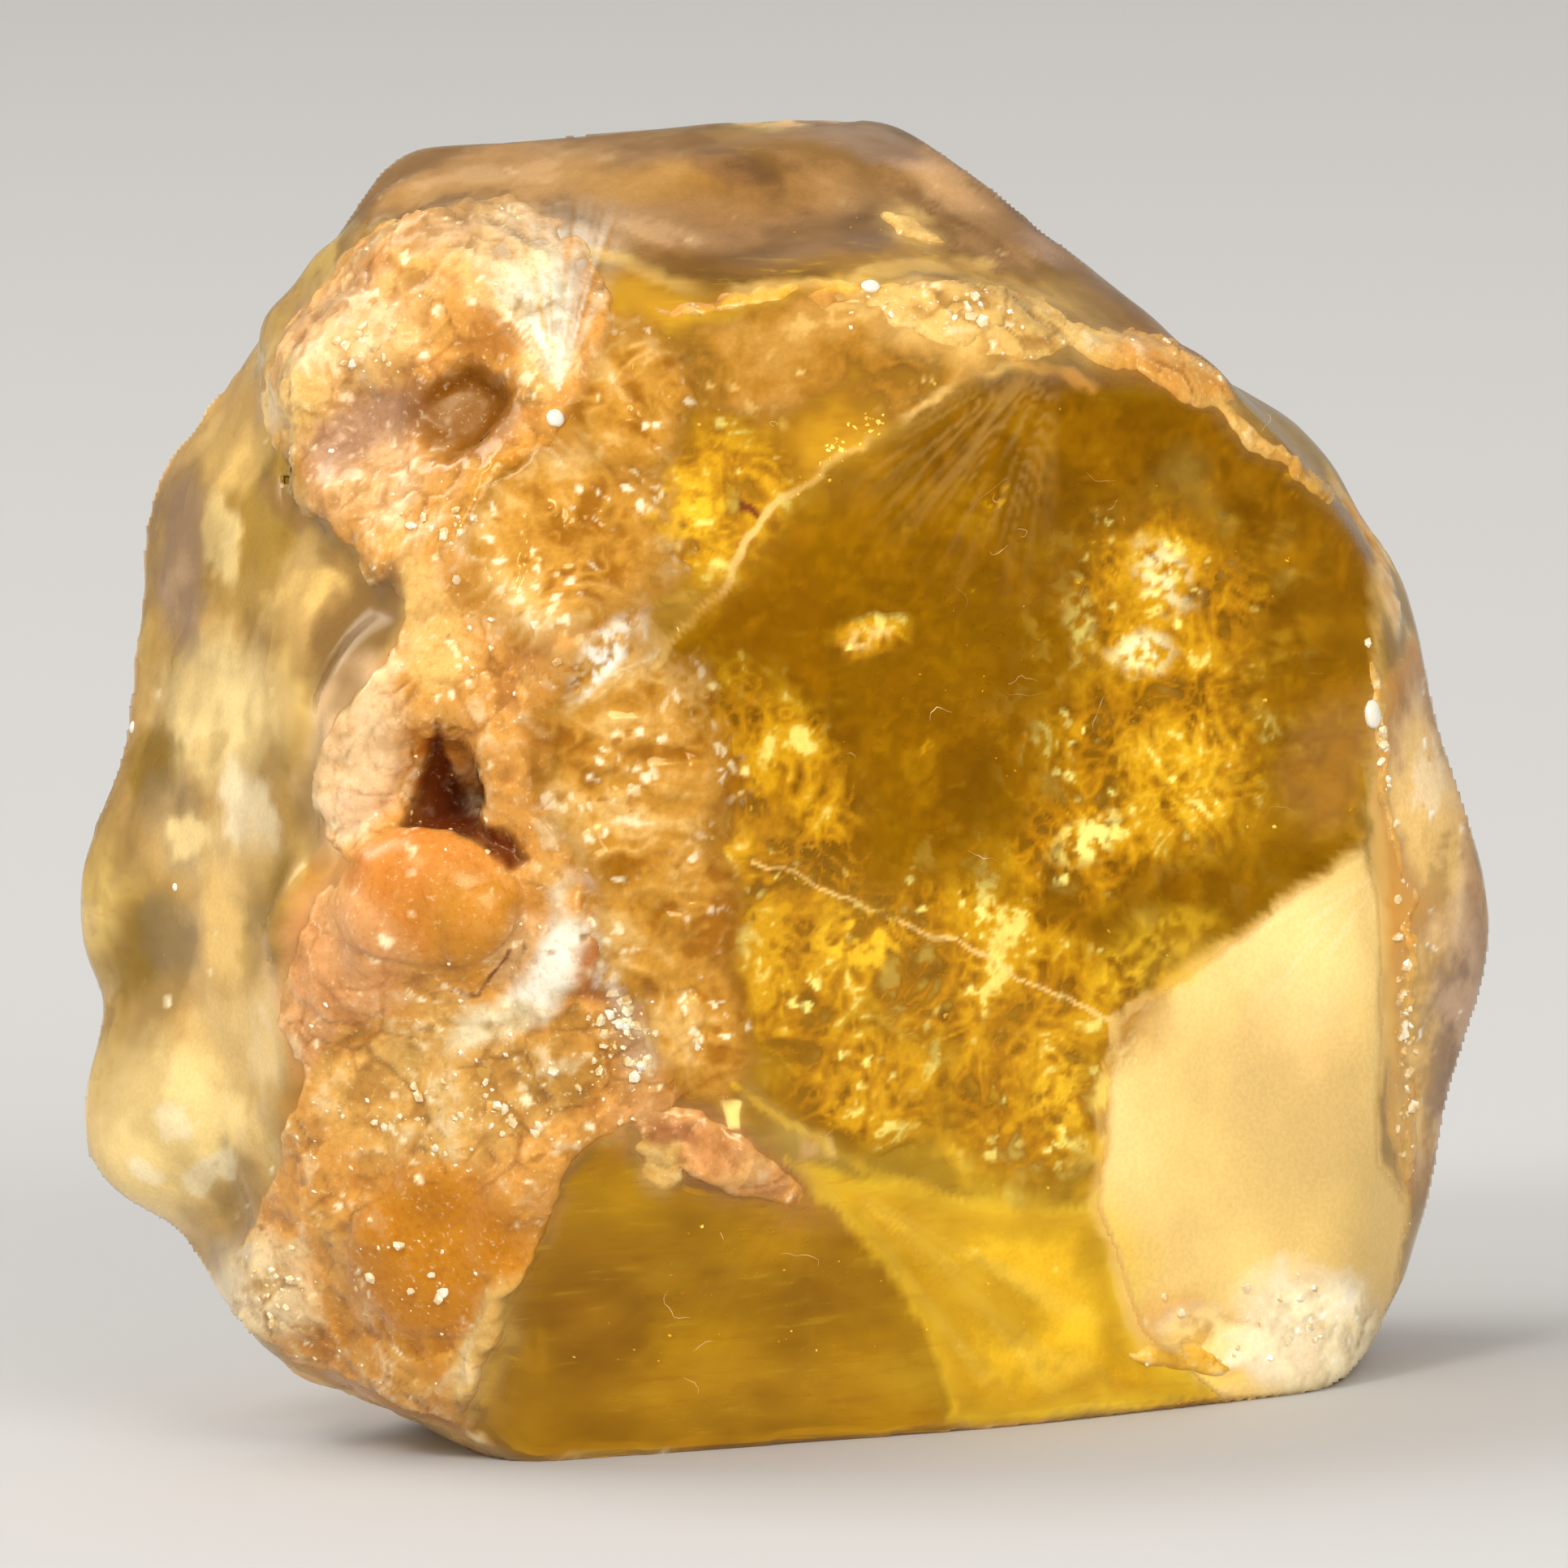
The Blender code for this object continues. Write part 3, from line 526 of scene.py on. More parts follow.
# Flakes: across, height, half width, half height and turn of the place, count, smallest and largest size,
# and how deep they lie at most.
FLAKES = {
    "high": (7.9, 15.8, 1.6, 1.8, 20, 70, 0.06, 0.24, 0.02),
    "middle": (7.6, 13.0, 1.8, 1.8, 0, 110, 0.06, 0.24, 0.02),
    "field": (4.0, 8.9, 3.4, 1.6, -20, 110, 0.05, 0.2, 0.03),
    "low_cluster": (4.7, 6.7, 1.5, 1.6, 0, 70, 0.06, 0.24, 0.02),
    "left_edge": (-0.4, 12.4, 1.1, 2.8, 20, 90, 0.05, 0.22, 0.02),
    "pool": (-0.6, 18.8, 1.6, 1.1, 30, 60, 0.05, 0.2, 0.02),
    "crest": (2.2, 19.6, 2.2, 0.3, 33, 60, 0.05, 0.18, 0.01),
    "window_dust": (4.5, 14.5, 4.5, 4.0, 0, 240, 0.03, 0.1, 0.05),
    "foot_dust": (-0.6, 3.0, 3.4, 1.8, 0, 120, 0.03, 0.12, 0.05),
    "yellow_dust": (4.6, 2.4, 2.0, 1.6, 0, 80, 0.04, 0.16, 0.05),
    "upper_dust": (0.5, 21.0, 3.0, 1.0, 10, 120, 0.05, 0.16, 0.05),
    "band_dust": (0.0, 24.2, 4.0, 0.8, 0, 120, 0.04, 0.14, 0.05),
    "left_dust": (-11.2, 12.0, 1.4, 5.5, 0, 160, 0.04, 0.14, 0.05),
}
# Bright grains crowded together: across, height, half width, half height, turn, count.
GLITTER = {
    "mess": (-3.0, 12.9, 1.4, 2.2, 10, 130),
    "right_low": (-3.2, 8.3, 0.7, 1.1, 0, 110),
    "round": (-2.6, 9.9, 0.5, 0.3, 0, 30),
    "upper_mess": (-3.6, 17.6, 1.6, 1.3, 20, 70),
    "corner": (-1.6, 7.6, 0.4, 0.6, 20, 40),
    "low_right": (9.0, 1.6, 2.0, 0.9, -14, 90),
    "middle_low": (-5.8, 6.9, 2.4, 1.0, 0, 90),
    "strip": (12.1, 7.0, 0.2, 2.6, -3, 110),
    "strip_high": (12.1, 12.5, 0.15, 1.6, 3, 40),
    "brow": (3.6, 22.0, 2.0, 0.4, -5, 50),
    "upper": (-7.3, 21.9, 0.8, 0.6, 0, 30),
    "eye": (-5.9, 18.3, 0.7, 0.4, 10, 26),
    "finger": (-4.2, 16.6, 0.8, 0.8, 0, 30),
    "toe": (-10.4, 3.9, 0.8, 0.8, 0, 40),
    "foot": (-8.0, 3.8, 1.4, 1.4, 0, 30),
}
# Single bright beads: across, height, half width and half height.
BEADS = {
    "silver": (11.9, 13.5, 0.22, 0.3),
    "left": (-12.5, 14.9, 0.14, 0.14),
    "left_low": (-11.8, 11.7, 0.1, 0.1),
    "pit": (-3.7, 20.3, 0.19, 0.19),
    "brow": (2.6, 22.5, 0.2, 0.16),
}

# Threads and scratches: across, height, half width and half height of the place, count, length, curl and
# half thickness.
THREADS = {
    "window_squiggles": (5.0, 14.5, 6.0, 5.0, 22, 0.6, 3.0, 0.012),
    "window_scratches": (5.5, 15.5, 6.0, 5.0, 26, 1.0, 0.3, 0.006),
    "cluster_squiggles": (7.9, 15.6, 1.6, 1.6, 30, 0.9, 2.4, 0.018),
    "lower_squiggles": (3.0, 8.0, 4.0, 2.5, 14, 0.6, 2.6, 0.012),
    "lower_scratches": (3.5, 7.0, 4.0, 3.0, 22, 1.2, 0.3, 0.006),
    "foot_scratches": (-1.0, 3.2, 3.2, 2.0, 10, 1.1, 0.4, 0.006),
    "milky_scratches": (8.8, 6.0, 2.2, 3.2, 6, 0.9, 0.6, 0.006),
    "upper_squiggles": (0.0, 20.4, 2.6, 1.4, 12, 0.5, 2.4, 0.012),
}

# Sheets, in millimetres: width of the crust's squares, how far it reaches past its outline, how thick it
# is and how wide its soft rim is, how thick the veils are, and how far past their outlines the sheets are
# begun.
CRUST_STEP = 0.06
CRUST_EDGE = 0.15
CRUST_SHELL = 0.35
CRUST_FADE = 0.3
VEIL_SHELL = 0.1
CRUST_MARGIN = 0.5
VEIL_MARGIN = 0.3
# A veil of ovals reaches so many times their size.
VEIL_REACH = 1.3
# The crystal's fine surface: cuts along each side, how strongly its points crowd to the front, rounds of
# smoothing, how near the floor a point is set down on it, and up to what height its relief dies away.
SURFACE_CUTS = 119
FRONT_LEAN = 0.35
SMOOTHING = 6
SET_DOWN = 0.03 * MM
FOOT_FADE = 0.8 * MM
MERGED = 0.001 * MM
# How far the clear crystal is pushed in around the crust's holes, and how softly, in millimetres.
HOLE_MOUTH = 0.8
HOLE_RIM = 0.5
# How far edges wander, coarsely and finely, in millimetres.
LOOSE = (0.32, 0.16)
NEAR = (0.18, 0.1)
CRUMBLED = (0.18, 0.12)
RAGGED = (0.25, 0.12)
STEADY = (0.1, 0.05)
FIRM = (0.08, 0.05)
# Sizes of the coarse and the fine wandering, in millimetres.
COARSE = 1.3
FINE = 0.35
# How far round a face may turn and still count as front, and how softly the front ends.
FRONT_BEGINS = -0.05
FRONT_SOFT = 0.25
# What is left of red, green and blue where shade is painted in, and how strongly clouds deepen each of them.
PAINTED_SHADE = np.array((0.6, 0.46, 0.26))
CLOUDED = np.array((0.3, 0.36, 0.45))
# Colours of the golden places, the flakes' gold with painted glow: where in a cell's tone each begins, over
# what width it grows (a negative one grows towards the dark), strength and colour.
PAINTED_GLOW_TONES = (
    (0.3, 0.3, 1.0, "sun"),
    (0.7, 0.15, 0.9, "lemon"),
    (0.22, -0.15, 0.6, "brown"),
)
# The crust: how rough it is, how deep its rim sits, how high it stands and over what width it rises, and
# how much relief is lost where it is worn.
CRUST_ROUGH = 0.32
CRUST_SEAT = -0.2
CRUST_HEIGHT = 0.27
CRUST_BANK = 0.4
WORN_AWAY = 0.85
# A veil: how deep its rim sits, how high it stands there and over what width it rises.
VEIL_SEAT = -0.03
VEIL_HEIGHT = 0.04
VEIL_BANK = 0.15
# How softly a fan of fibres ends at its sides, in degrees.
FAN_SOFTNESS = 20
# Rays start so far in front of the crystal, and grains sit so deep in the surface.
SIGHT = 0.1
GRAIN_SEAT = 0.02 * MM
# How far grains and flakes tip away from the way that the surface faces.
GRAIN_TILT = 0.7
FLAKE_TILT = 0.25
# How squarely a face has to look to the front to carry a sheet, a strewn grain or a scattered shape.
SHEET_FACING = 0.02
GRAIN_FACING = 0.1
SPOT_FACING = 0.15

# The studio's lights: where each one hangs and how wide it is in metres, and its power in watts.
LIGHTS = {
    "key": ((-0.30, -0.45, 0.50), 0.16, 1.6),
    "fill": ((0.22, -0.62, 0.26), 0.30, 3.8),
    "back": ((-0.34, 0.20, 0.40), 0.30, 1.6),
}
LIT_POINT = Vector((0.0, 0.0, HIGH.z / 2))
# The surroundings: where they are brightest, how bright they are at their darkest, and between which
# leans they grow.
BRIGHTEST_WAY = Vector((-0.6, 0.1, 0.6)).normalized()
DARKEST = 0.08
GROWS_BETWEEN = (-0.6, 0.8)
# The paper: half its length, where it bends up and how widely, in metres, and how many strips it is made
# of.
PAPER_REACH = 2.0
PAPER_BEND = 1.0
PAPER_RADIUS = 0.3
PAPER_STRIPS = 80
# The camera: how wide its view is at the crystal, the middle of that view, how far it is tipped, its
# film's width in millimetres, and the nearest and farthest that it sees.
FRAME_WIDTH = 31.02 * MM
FRAME_MIDDLE = Vector((0.256, 0.0, 12.293)) * MM
CAMERA_ROLL = math.radians(3.87)
SENSOR = 36.0
CLIPPED = (0.01, 10.0)


class GARNET_PG_crystal(bpy.types.PropertyGroup):
    """The clear crystal"""

    cuts: IntProperty(name="Cuts", description="Cuts along each side of the fine surface",
                      default=SURFACE_CUTS, min=8, max=140)
    refraction: FloatProperty(name="Refraction", description="Index of refraction of the clear crystal",
                              default=1.73, min=1.0, max=3.0)
    stain: FloatVectorProperty(name="Stain", description="Colour of the light that the crystal lets through",
                               subtype="COLOR", default=(0.938, 0.862, 0.077), min=0.0, max=1.0)
    density: FloatProperty(name="Density", description="How fast the crystal stains light", default=130.0,
                           min=0.0)
    gloss: FloatVectorProperty(name="Gloss", description="Colour of the crystal's gloss", subtype="COLOR",
                               default=(1.0, 0.75, 0.25), min=0.0, max=1.0)


class GARNET_PG_crust(bpy.types.PropertyGroup):
    """The crust on the crystal"""

    step: FloatProperty(name="Square", description="Width of the crust's squares", default=CRUST_STEP * MM,
                        min=0.02 * MM, subtype="DISTANCE", unit="LENGTH", precision=6)
    shell: FloatProperty(name="Thickness", description="How deep the crust reaches into the crystal",
                         default=CRUST_SHELL * MM, min=0.05 * MM, subtype="DISTANCE", unit="LENGTH",
                         precision=6)
    glow: FloatProperty(name="Glow", description="Share of the light that wanders under the crust's skin",
                        default=0.3, min=0.0, max=1.0, subtype="FACTOR")
    gloss: FloatVectorProperty(name="Gloss", description="Colour of the crust's gloss", subtype="COLOR",
                               default=(1.0, 0.8, 0.45), min=0.0, max=1.0)


class GARNET_PG_inclusions(bpy.types.PropertyGroup):
    """The veils, flakes, grains and threads"""

    shell: FloatProperty(name="Veil thickness", description="How thick the veils are",
                         default=VEIL_SHELL * MM, min=0.02 * MM, subtype="DISTANCE", unit="LENGTH",
                         precision=6)
    gloss: FloatVectorProperty(name="Veil gloss", description="Colour of the veils' gloss", subtype="COLOR",
                               default=(1.0, 0.8, 0.4), min=0.0, max=1.0)
    smallest: FloatProperty(name="Smallest grain", description="Width of the smallest bright grains",
                            default=0.06 * MM, min=0.01 * MM, subtype="DISTANCE", unit="LENGTH", precision=6)
    largest: FloatProperty(name="Largest grain", description="Width of the largest bright grains",
                           default=0.32 * MM, min=0.02 * MM, subtype="DISTANCE", unit="LENGTH", precision=6)
    thread_steps: IntProperty(name="Thread steps", description="Points along each pale thread", default=9,
                              min=3, max=30)


class GARNET_PG_studio(bpy.types.PropertyGroup):
    """The paper, the lights and the camera"""

    paper: FloatVectorProperty(name="Paper", description="Colour of the paper backdrop", subtype="COLOR",
                               default=(0.5, 0.49, 0.475), min=0.0, max=1.0)
    key: FloatProperty(name="Key light", description="Power of the main light", default=LIGHTS["key"][2],
                       min=0.0, unit="POWER")
    fill: FloatProperty(name="Fill light", description="Power of the front light", default=LIGHTS["fill"][2],
                        min=0.0, unit="POWER")
    back: FloatProperty(name="Back light", description="Power of the light behind", default=LIGHTS["back"][2],
                        min=0.0, unit="POWER")
    sky: FloatProperty(name="Sky", description="Brightness of the brightest part of the surroundings",
                       default=0.95, min=0.0)
    distance: FloatProperty(name="Camera distance", description="From the camera to the crystal", default=0.5,
                            min=0.1, subtype="DISTANCE", unit="LENGTH")


def seen(points):
    """(across, height) in millimetres of each point as seen from the front."""
    height = points[:, 2] * math.cos(FRONT_SLOPE) + (points[:, 1] - FRONT_FOOT) * math.sin(FRONT_SLOPE)
    return np.stack([points[:, 0], height]) / MM


def smooth_step(share):
    """A share from 0 to 1 that leaves 0 and reaches 1 softly."""
    share = np.clip(share, 0.0, 1.0)
    return share * share * (3.0 - 2.0 * share)


def reach(path, across, height):
    """How far each seen point lies from a path, in millimetres."""
    nearest = np.full(len(across), np.inf)
    for (x0, y0), (x1, y1) in zip(path, path[1:]):
        run, rise = x1 - x0, y1 - y0
        along = np.clip(((across - x0) * run + (height - y0) * rise) / (run * run + rise * rise), 0.0, 1.0)
        nearest = np.minimum(nearest, np.hypot(across - x0 - along * run, height - y0 - along * rise))
    return nearest


def depth_inside(outline, across, height):
    """How far each seen point lies inside an outline, in millimetres, and below zero outside it."""
    closed = [*outline, outline[0]]
    inside = np.zeros(len(across), dtype=bool)
    for (x0, y0), (x1, y1) in zip(closed, closed[1:]):
        if y0 != y1:
            inside ^= ((y0 > height) != (y1 > height)) & (across < x0 + (x1 - x0) * (height - y0) / (y1 - y0))
    nearest = reach(closed, across, height)
    return np.where(inside, nearest, -nearest)


def depth_in_any(outlines, across, height):
    """How far each seen point lies inside the outline that holds it best, in millimetres."""
    return np.max([depth_inside(outline, across, height) for outline in outlines], axis=0)


def oval(place, across, height, softness=0.5):
    """How strongly an oval patch covers each seen point."""
    return smooth_step((oval_heart(place, across, height) + softness / 2) / softness)


def oval_heart(place, across, height):
    """How deep inside an oval patch each seen point is: 1 at its heart, 0 on its rim and less outside."""
    middle, level, wide, tall, turn = place[:5]
    cos, sin = math.cos(math.radians(turn)), math.sin(math.radians(turn))
    along = ((across - middle) * cos + (height - level) * sin) / wide
    up = ((height - level) * cos - (across - middle) * sin) / tall
    return 1.0 - np.hypot(along, up)


def seeded(seed):
    """A shift that gives each pattern a place of its own in the noise."""
    return Vector((seed * 17.3, seed * 5.7, seed * 11.1))


def grain(points, size, seed, octaves=1):
    """Soft noise from about -1 to 1 whose lumps are size millimetres across."""
    shift, scale = seeded(seed), 1.0 / (size * MM)
    if octaves == 1:
        return np.array([noise.noise(Vector(p) * scale + shift) for p in points])
    return np.array([noise.fractal(Vector(p) * scale + shift, 0.8, 2.1, octaves) for p in points])


def ridges(points, size, seed):
    """Noise from about -1 to 1 with sharp crests, size millimetres apart."""
    return 1.0 - 3.0 * np.abs(grain(points, size, seed))


def curls(points, size, seed):
    """Noise from about -1 to 1 whose crests curl and cross, size millimetres apart."""
    bend = np.stack([grain(points, 1.7 * size, seed + axis) for axis in range(3)], axis=1)
    bent = points + bend * 0.9 * size * MM
    return np.maximum(ridges(bent, size, seed + 3), ridges(bent, 0.5 * size, seed + 4) - 0.15)


def cells(points, size, seed):
    """A pattern of cells: how far a point is from its cell's edge, the slope there, and the cell's tone."""
    shift, scale = seeded(seed), 1.0 / (size * MM)
    edge, slope, tone = (np.empty(len(points)) for _ in range(3))
    for index, point in enumerate(points):
        spot = Vector(point) * scale + shift
        (near, far, *_), (heart, *_) = noise.voronoi(spot)
        draw = noise.cell_vector(heart * 7.3)
        edge[index], tone[index] = far - near, draw.x
        slope[index] = (spot - heart).dot(draw) - (spot - heart).dot(Vector((0.5, 0.5, 0.5)))
    return edge, slope, tone


def link(obj):
    """The object, now in the scene."""
    bpy.context.scene.collection.objects.link(obj)
    return obj


def merged_solid():
    """The packed crystal with its loose triangles joined, as a tree that rays can be cast at."""
    bm = bmesh.new()
    bm.from_mesh(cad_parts[CRYSTAL].data)
    bmesh.ops.remove_doubles(bm, verts=bm.verts, dist=MERGED)
    tree = BVHTree.FromBMesh(bm)
    bm.free()
    return tree


def draped_sphere(cuts, lean):
    """A dense sphere of squares, its points closer together at the front, laid on the packed crystal."""
    bm = bmesh.new()
    bmesh.ops.create_cube(bm, size=2.0)
    bmesh.ops.subdivide_edges(bm, edges=bm.edges[:], cuts=cuts, use_grid_fill=True)
    tree = merged_solid()
    for vert in bm.verts:
        even = Vector([math.tan(c * math.pi / 4) for c in vert.co]).normalized()
        ray = (even + Vector((0, -lean, 0))).normalized()
        vert.co = tree.ray_cast(HEART, ray)[0]
    return bm


def places_of(bm):
    """The points of a bmesh, and which way each one faces."""
    bm.normal_update()
    return np.array([v.co for v in bm.verts]), np.array([v.normal for v in bm.verts])


class Look:
    """The colour, clearness and roughness of a surface at each of its points."""

    softness = 0.6

    def __init__(self, points, normals):
        self.points = points
        self.front = smooth_step((normals @ TOWARDS_FRONT - FRONT_BEGINS) / FRONT_SOFT)
        self.straight = seen(points)
        self.coarse = np.stack([grain(points, COARSE, seed) for seed in (1, 3)])
        self.fine = np.stack([grain(points, FINE, seed) for seed in (2, 4)])
        self.colour = np.zeros((len(points), 3))
        self.clear = np.zeros(len(points))
        self.rough = np.zeros(len(points))

    def wandering(self, coarse, fine):
        """Where the points are seen, pushed about by so many millimetres, so that edges wander."""
        return self.straight + coarse * self.coarse + fine * self.fine

    def tint(self, share, colour):
        """Mix a colour in, by a share of it at each point."""
        self.colour += (np.array(COLOURS[colour]) - self.colour) * share[:, None]

    def paint_shade(self, share):
        """Paint shade in, deepening the colour towards a dark orange."""
        self.colour *= 1.0 + (PAINTED_SHADE - 1.0) * share[:, None]

    def drift(self, share, size, seed, octaves, gain, shift, strength, colour):
        """Broad drifts of one colour."""
        cover = smooth_step(grain(self.points, size, seed, octaves) * gain + shift)
        self.tint(share * cover * strength, colour)

    def blend(self, share, **aims):
        """Bring named values nearer to what is asked, by a share at each point."""
        for name, aim in aims.items():
            values = getattr(self, name)
            values += (aim - values) * share

    def paint_patches(self, share=1.0):
        """Lay on the patches, and the lines over them."""
        loose = self.wandering(*LOOSE)
        for *place, colour, strength in PATCHES.values():
            self.tint(oval(place, *loose, self.softness) * self.front * strength * share, colour)
        self.paint_lines()

    def glint(self, size, seed, share, bright, dark):
        """Painted highlights: small specks painted bright as if they caught the light, and a few painted
        dark; how strongly each point is painted bright.
        """
        bend = np.stack([grain(self.points, size, seed + 2 + axis) for axis in range(3)], axis=1)
        edge, _, draw = cells(self.points + bend * 0.5 * size * MM, size, seed)
        where = smooth_step(edge / 0.4) * smooth_step(grain(self.points, 1.6, seed + 1, 2) * 3.0 + 0.2)
        painted_flash = where * smooth_step((draw - 1 + share) / 0.02) * 0.85
        self.tint(painted_flash, bright)
        self.tint(where * smooth_step((0.5 * share - draw) / 0.02) * 0.8, dark)
        return painted_flash

    def paint_lines(self):
        """Draw the lines and the fans of fibres."""
        near = self.wandering(*NEAR)
        for colour, strength, half_width, path in LINES.values():
            share = smooth_step(1.5 - reach(path, *near) / half_width) * self.front * strength
            share *= smooth_step(grain(self.points, 0.8, len(path) + 40) * 1.5 + 1.0)
            self.tint(share, colour)
            self.clear *= 1 - 0.6 * share
        for fibres in RAYS.values():
            self.fan_out(*fibres)

    def fan_out(self, colour, strength, heart, length, first, last, density):
        """Fibres that run out from a heart, fading as they go."""
        across, height = self.straight - np.array(heart)[:, None]
        far = np.hypot(across, height)
        heading = np.degrees(np.arctan2(height, across)) % 360
        threads = grain(np.stack([heading * density, far * 0.4, far * 0.0], axis=1) * MM, 1.0, int(first))
        within = smooth_step((heading - first) / FAN_SOFTNESS) * smooth_step((last - heading) / FAN_SOFTNESS)
        within *= smooth_step(1.4 - far / length)
        threads *= 2.4 * (1.3 - strength)
        self.tint(within * smooth_step(threads + 0.6 * strength) * self.front * strength, colour)


class GlassLook(Look):
    """The look of the clear crystal, and how far it swells and stands out at each point, in millimetres."""

    softness = 1.0

    def __init__(self, points, normals):
        super().__init__(points, normals)
        self.swell = np.zeros(len(points))
        self.relief = np.zeros(len(points))
        self.settle(np.ones(len(points)), *HIDDEN_SIDE)
        self.hide_side()
        near = self.wandering(*NEAR)
        for *look, outline in REGIONS.values():
            share = smooth_step(0.5 + depth_inside(outline, *near) / (2 * REGION_EDGE)) * self.front
            self.settle(share, *look)
            self.blend(share, relief=0.0)
        self.marble(smooth_step(depth_inside(REGIONS["left_side"][-1], *near) / 0.5) * self.front)
        self.paint_patches()
        for *place, clear, rough, strength in FROSTED.values():
            self.blend(oval(place, *near, 0.7) * self.front * strength, clear=clear, rough=rough)
        self.paint_flakes_and_glow(near)
        self.clear *= 1 - 0.7 * smooth_step((self.colour[:, 2] - 0.2) / 0.25) * self.front
        clouds = grain(points, 2.6, 13, 4) + 0.8 * grain(points @ SLANT, 0.9, 14, 3) * self.front
        clouds *= smooth_step(2 * self.clear - 0.2)
        self.colour *= 1.0 + clouds[:, None] * CLOUDED

    def settle(self, share, colour, clear, rough, swell):
        """Turn a share of each point into one kind of stone."""
        self.tint(share, colour)
        self.blend(share, clear=clear, rough=rough, swell=swell)

    def hide_side(self):
        """The sides that the front doesn't show: honey with olive, brown and crusted places."""
        everywhere = np.ones(len(self.points))
        for drift in HIDDEN_DRIFTS:
            self.drift(everywhere, *drift)
        crusted = smooth_step(grain(self.points, 6.5, 10, 5) * 4.0 - 0.6)
        self.settle(crusted, *HIDDEN_CRUST)
        self.blend(crusted, relief=HIDDEN_RELIEF)
        for drift in CRUST_DRIFTS:
            self.drift(crusted, *drift)

    def marble(self, share):
        """Olive pools between pale crests, as seen through lumpy glass."""
        self.drift(share, 1.8, 41, 2, 2.0, -0.1, 0.45, "olive")
        self.tint(share * smooth_step(ridges(self.points, 2.0, 42) * 1.6 - 0.5) * 0.35, "butter")
        self.tint(share * smooth_step(ridges(self.points, 1.1, 43) * 1.6 - 0.7) * 0.3, "umber")

    def paint_flakes_and_glow(self, near):
        """Crowded golden flakes just under the surface, painted on, with painted glow."""
        glow = np.zeros(len(self.points))
        for *place, strength in PAINTED_GLOWS.values():
            glow = np.maximum(glow, oval(place, *near, 1.2) * self.front * strength)
        glow *= smooth_step(grain(self.points, 0.9, 12, 4) * 1.6 + 0.6)
        tone = cells(self.points, 0.42, 15)[2]
        self.tint(glow * 0.6, "gold")
        for begins, width, strength, colour in PAINTED_GLOW_TONES:
            self.tint(glow * smooth_step((tone - begins) / width) * strength, colour)
        self.clear *= 1 - 0.75 * glow

    def lift(self):
        """How far each point stands out, in millimetres, once shade is painted in its low places and light on
        its high ones.
        """
        rise = 0.5 * grain(self.points, 1.1, 21, 4) + 0.3 * ridges(self.points, 0.62, 22)
        standing = smooth_step((self.relief - 0.04) / 0.06)
        # Painted shade in the low places, painted light on the high ones.
        self.paint_shade(standing * smooth_step(-0.1 - rise * 2.0))
        self.tint(standing * smooth_step(rise * 2.0 - 0.2) * 0.7, "cream")
        return self.relief * rise + self.swell * grain(self.points, 2.3, 24, 2) + 0.006 * self.coarse[0]


class CrustLook(Look):
    """The look of the crust, and how high it stands at each point, in millimetres."""

    def __init__(self, points, normals, outlines, relief):
        super().__init__(points, normals)
        near = self.wandering(*CRUMBLED)
        self.past = depth_in_any(outlines, *near) + CRUST_EDGE
        self.body = smooth_step(self.past / CRUST_FADE)
        self.relief = np.full(len(points), relief)
        self.tint(np.ones(len(points)), "apricot")
        self.rough += CRUST_ROUGH
        self.paint_patches()
        self.wear_down(near)
        worn = self.relief / relief
        crumbs = self.crumble(worn)
        self.rise = crumbs * worn
        inside = smooth_step(self.past / CRUST_BANK)
        self.lift = CRUST_SEAT + inside * (CRUST_HEIGHT + self.relief * (crumbs - 0.1))
        self.swell_domes(inside)
        self.sink_holes()

    def wear_down(self, near):
        """Smooth the worn and melted places."""
        for *place, rough, strength in SMOOTHED.values():
            share = oval(place, *near, 0.7) * strength
            self.blend(share, rough=rough)
            self.relief *= 1 - WORN_AWAY * share

    def crumble(self, worn):
        """Colour lumps and flecks, with shade painted in the low places and light on the crests, less where
        worn; how high the lumps stand.
        """
        points = self.points
        slope, tone = cells(points, 0.55, 31)[1:]
        wide_edge = cells(points, 1.15, 32)[0]
        rise = 0.34 * grain(points, 1.3, 33, 3) + 0.26 * ridges(points, 1.0, 34)
        rise += 0.2 * ridges(points, 0.45, 35)
        crevice = smooth_step((0.1 - wide_edge) / 0.1)
        crevice *= smooth_step(grain(points, 1.7, 38, 2) * 2.0 + 0.5)
        rise += 0.5 * slope - 0.3 * crevice
        fleck = grain(points, 0.2, 36, 2)
        # Painted shade in the crevices.
        self.paint_shade(crevice * 0.4 * worn)
        self.tint(smooth_step(grain(points, 2.2, 39, 3) * 2.2 - 0.1) * 0.35 * worn, "butter")
        # Painted shade in the low places, painted light on the crests.
        self.paint_shade(smooth_step((0.15 - rise) / 0.45) * (0.15 + 0.55 * worn))
        self.tint(smooth_step((rise + 0.12 * fleck - 0.25) / 0.4) * 0.45 * worn, "cream")
        self.colour *= (0.82 + (tone - 0.5) * 0.2 * worn + 0.07 * fleck * worn)[:, None]
        # Painted highlights: bright specks, and a few dark ones.
        self.glint(0.2, 37, 0.06, "cream", "umber")
        self.tint(smooth_step(1 - self.past / 0.6) * 0.3, "gold_dark")
        self.rough = np.clip(self.rough + (tone - 0.5) * 0.4 * worn, 0.08, 0.8)
        return rise

    def swell_domes(self, inside):
        """Push the domes out."""
        steady = self.wandering(*STEADY)
        for *place, out in DOMES.values():
            self.lift += out * np.sqrt(oval_heart(place, *steady).clip(0, 1)) * inside

    def sink_holes(self):
        """Push the holes in and darken them with painted shade."""
        self.sink = np.zeros(len(self.points))
        for deep, soft, colour, strength, outline in HOLES.values():
            rim = self.wandering(0.15 * soft, 0.15 * soft)
            share = smooth_step(0.5 + depth_inside(outline, *rim) / soft)
            self.lift *= 1 - share
            self.sink += deep * share
            self.tint(share * strength, colour)


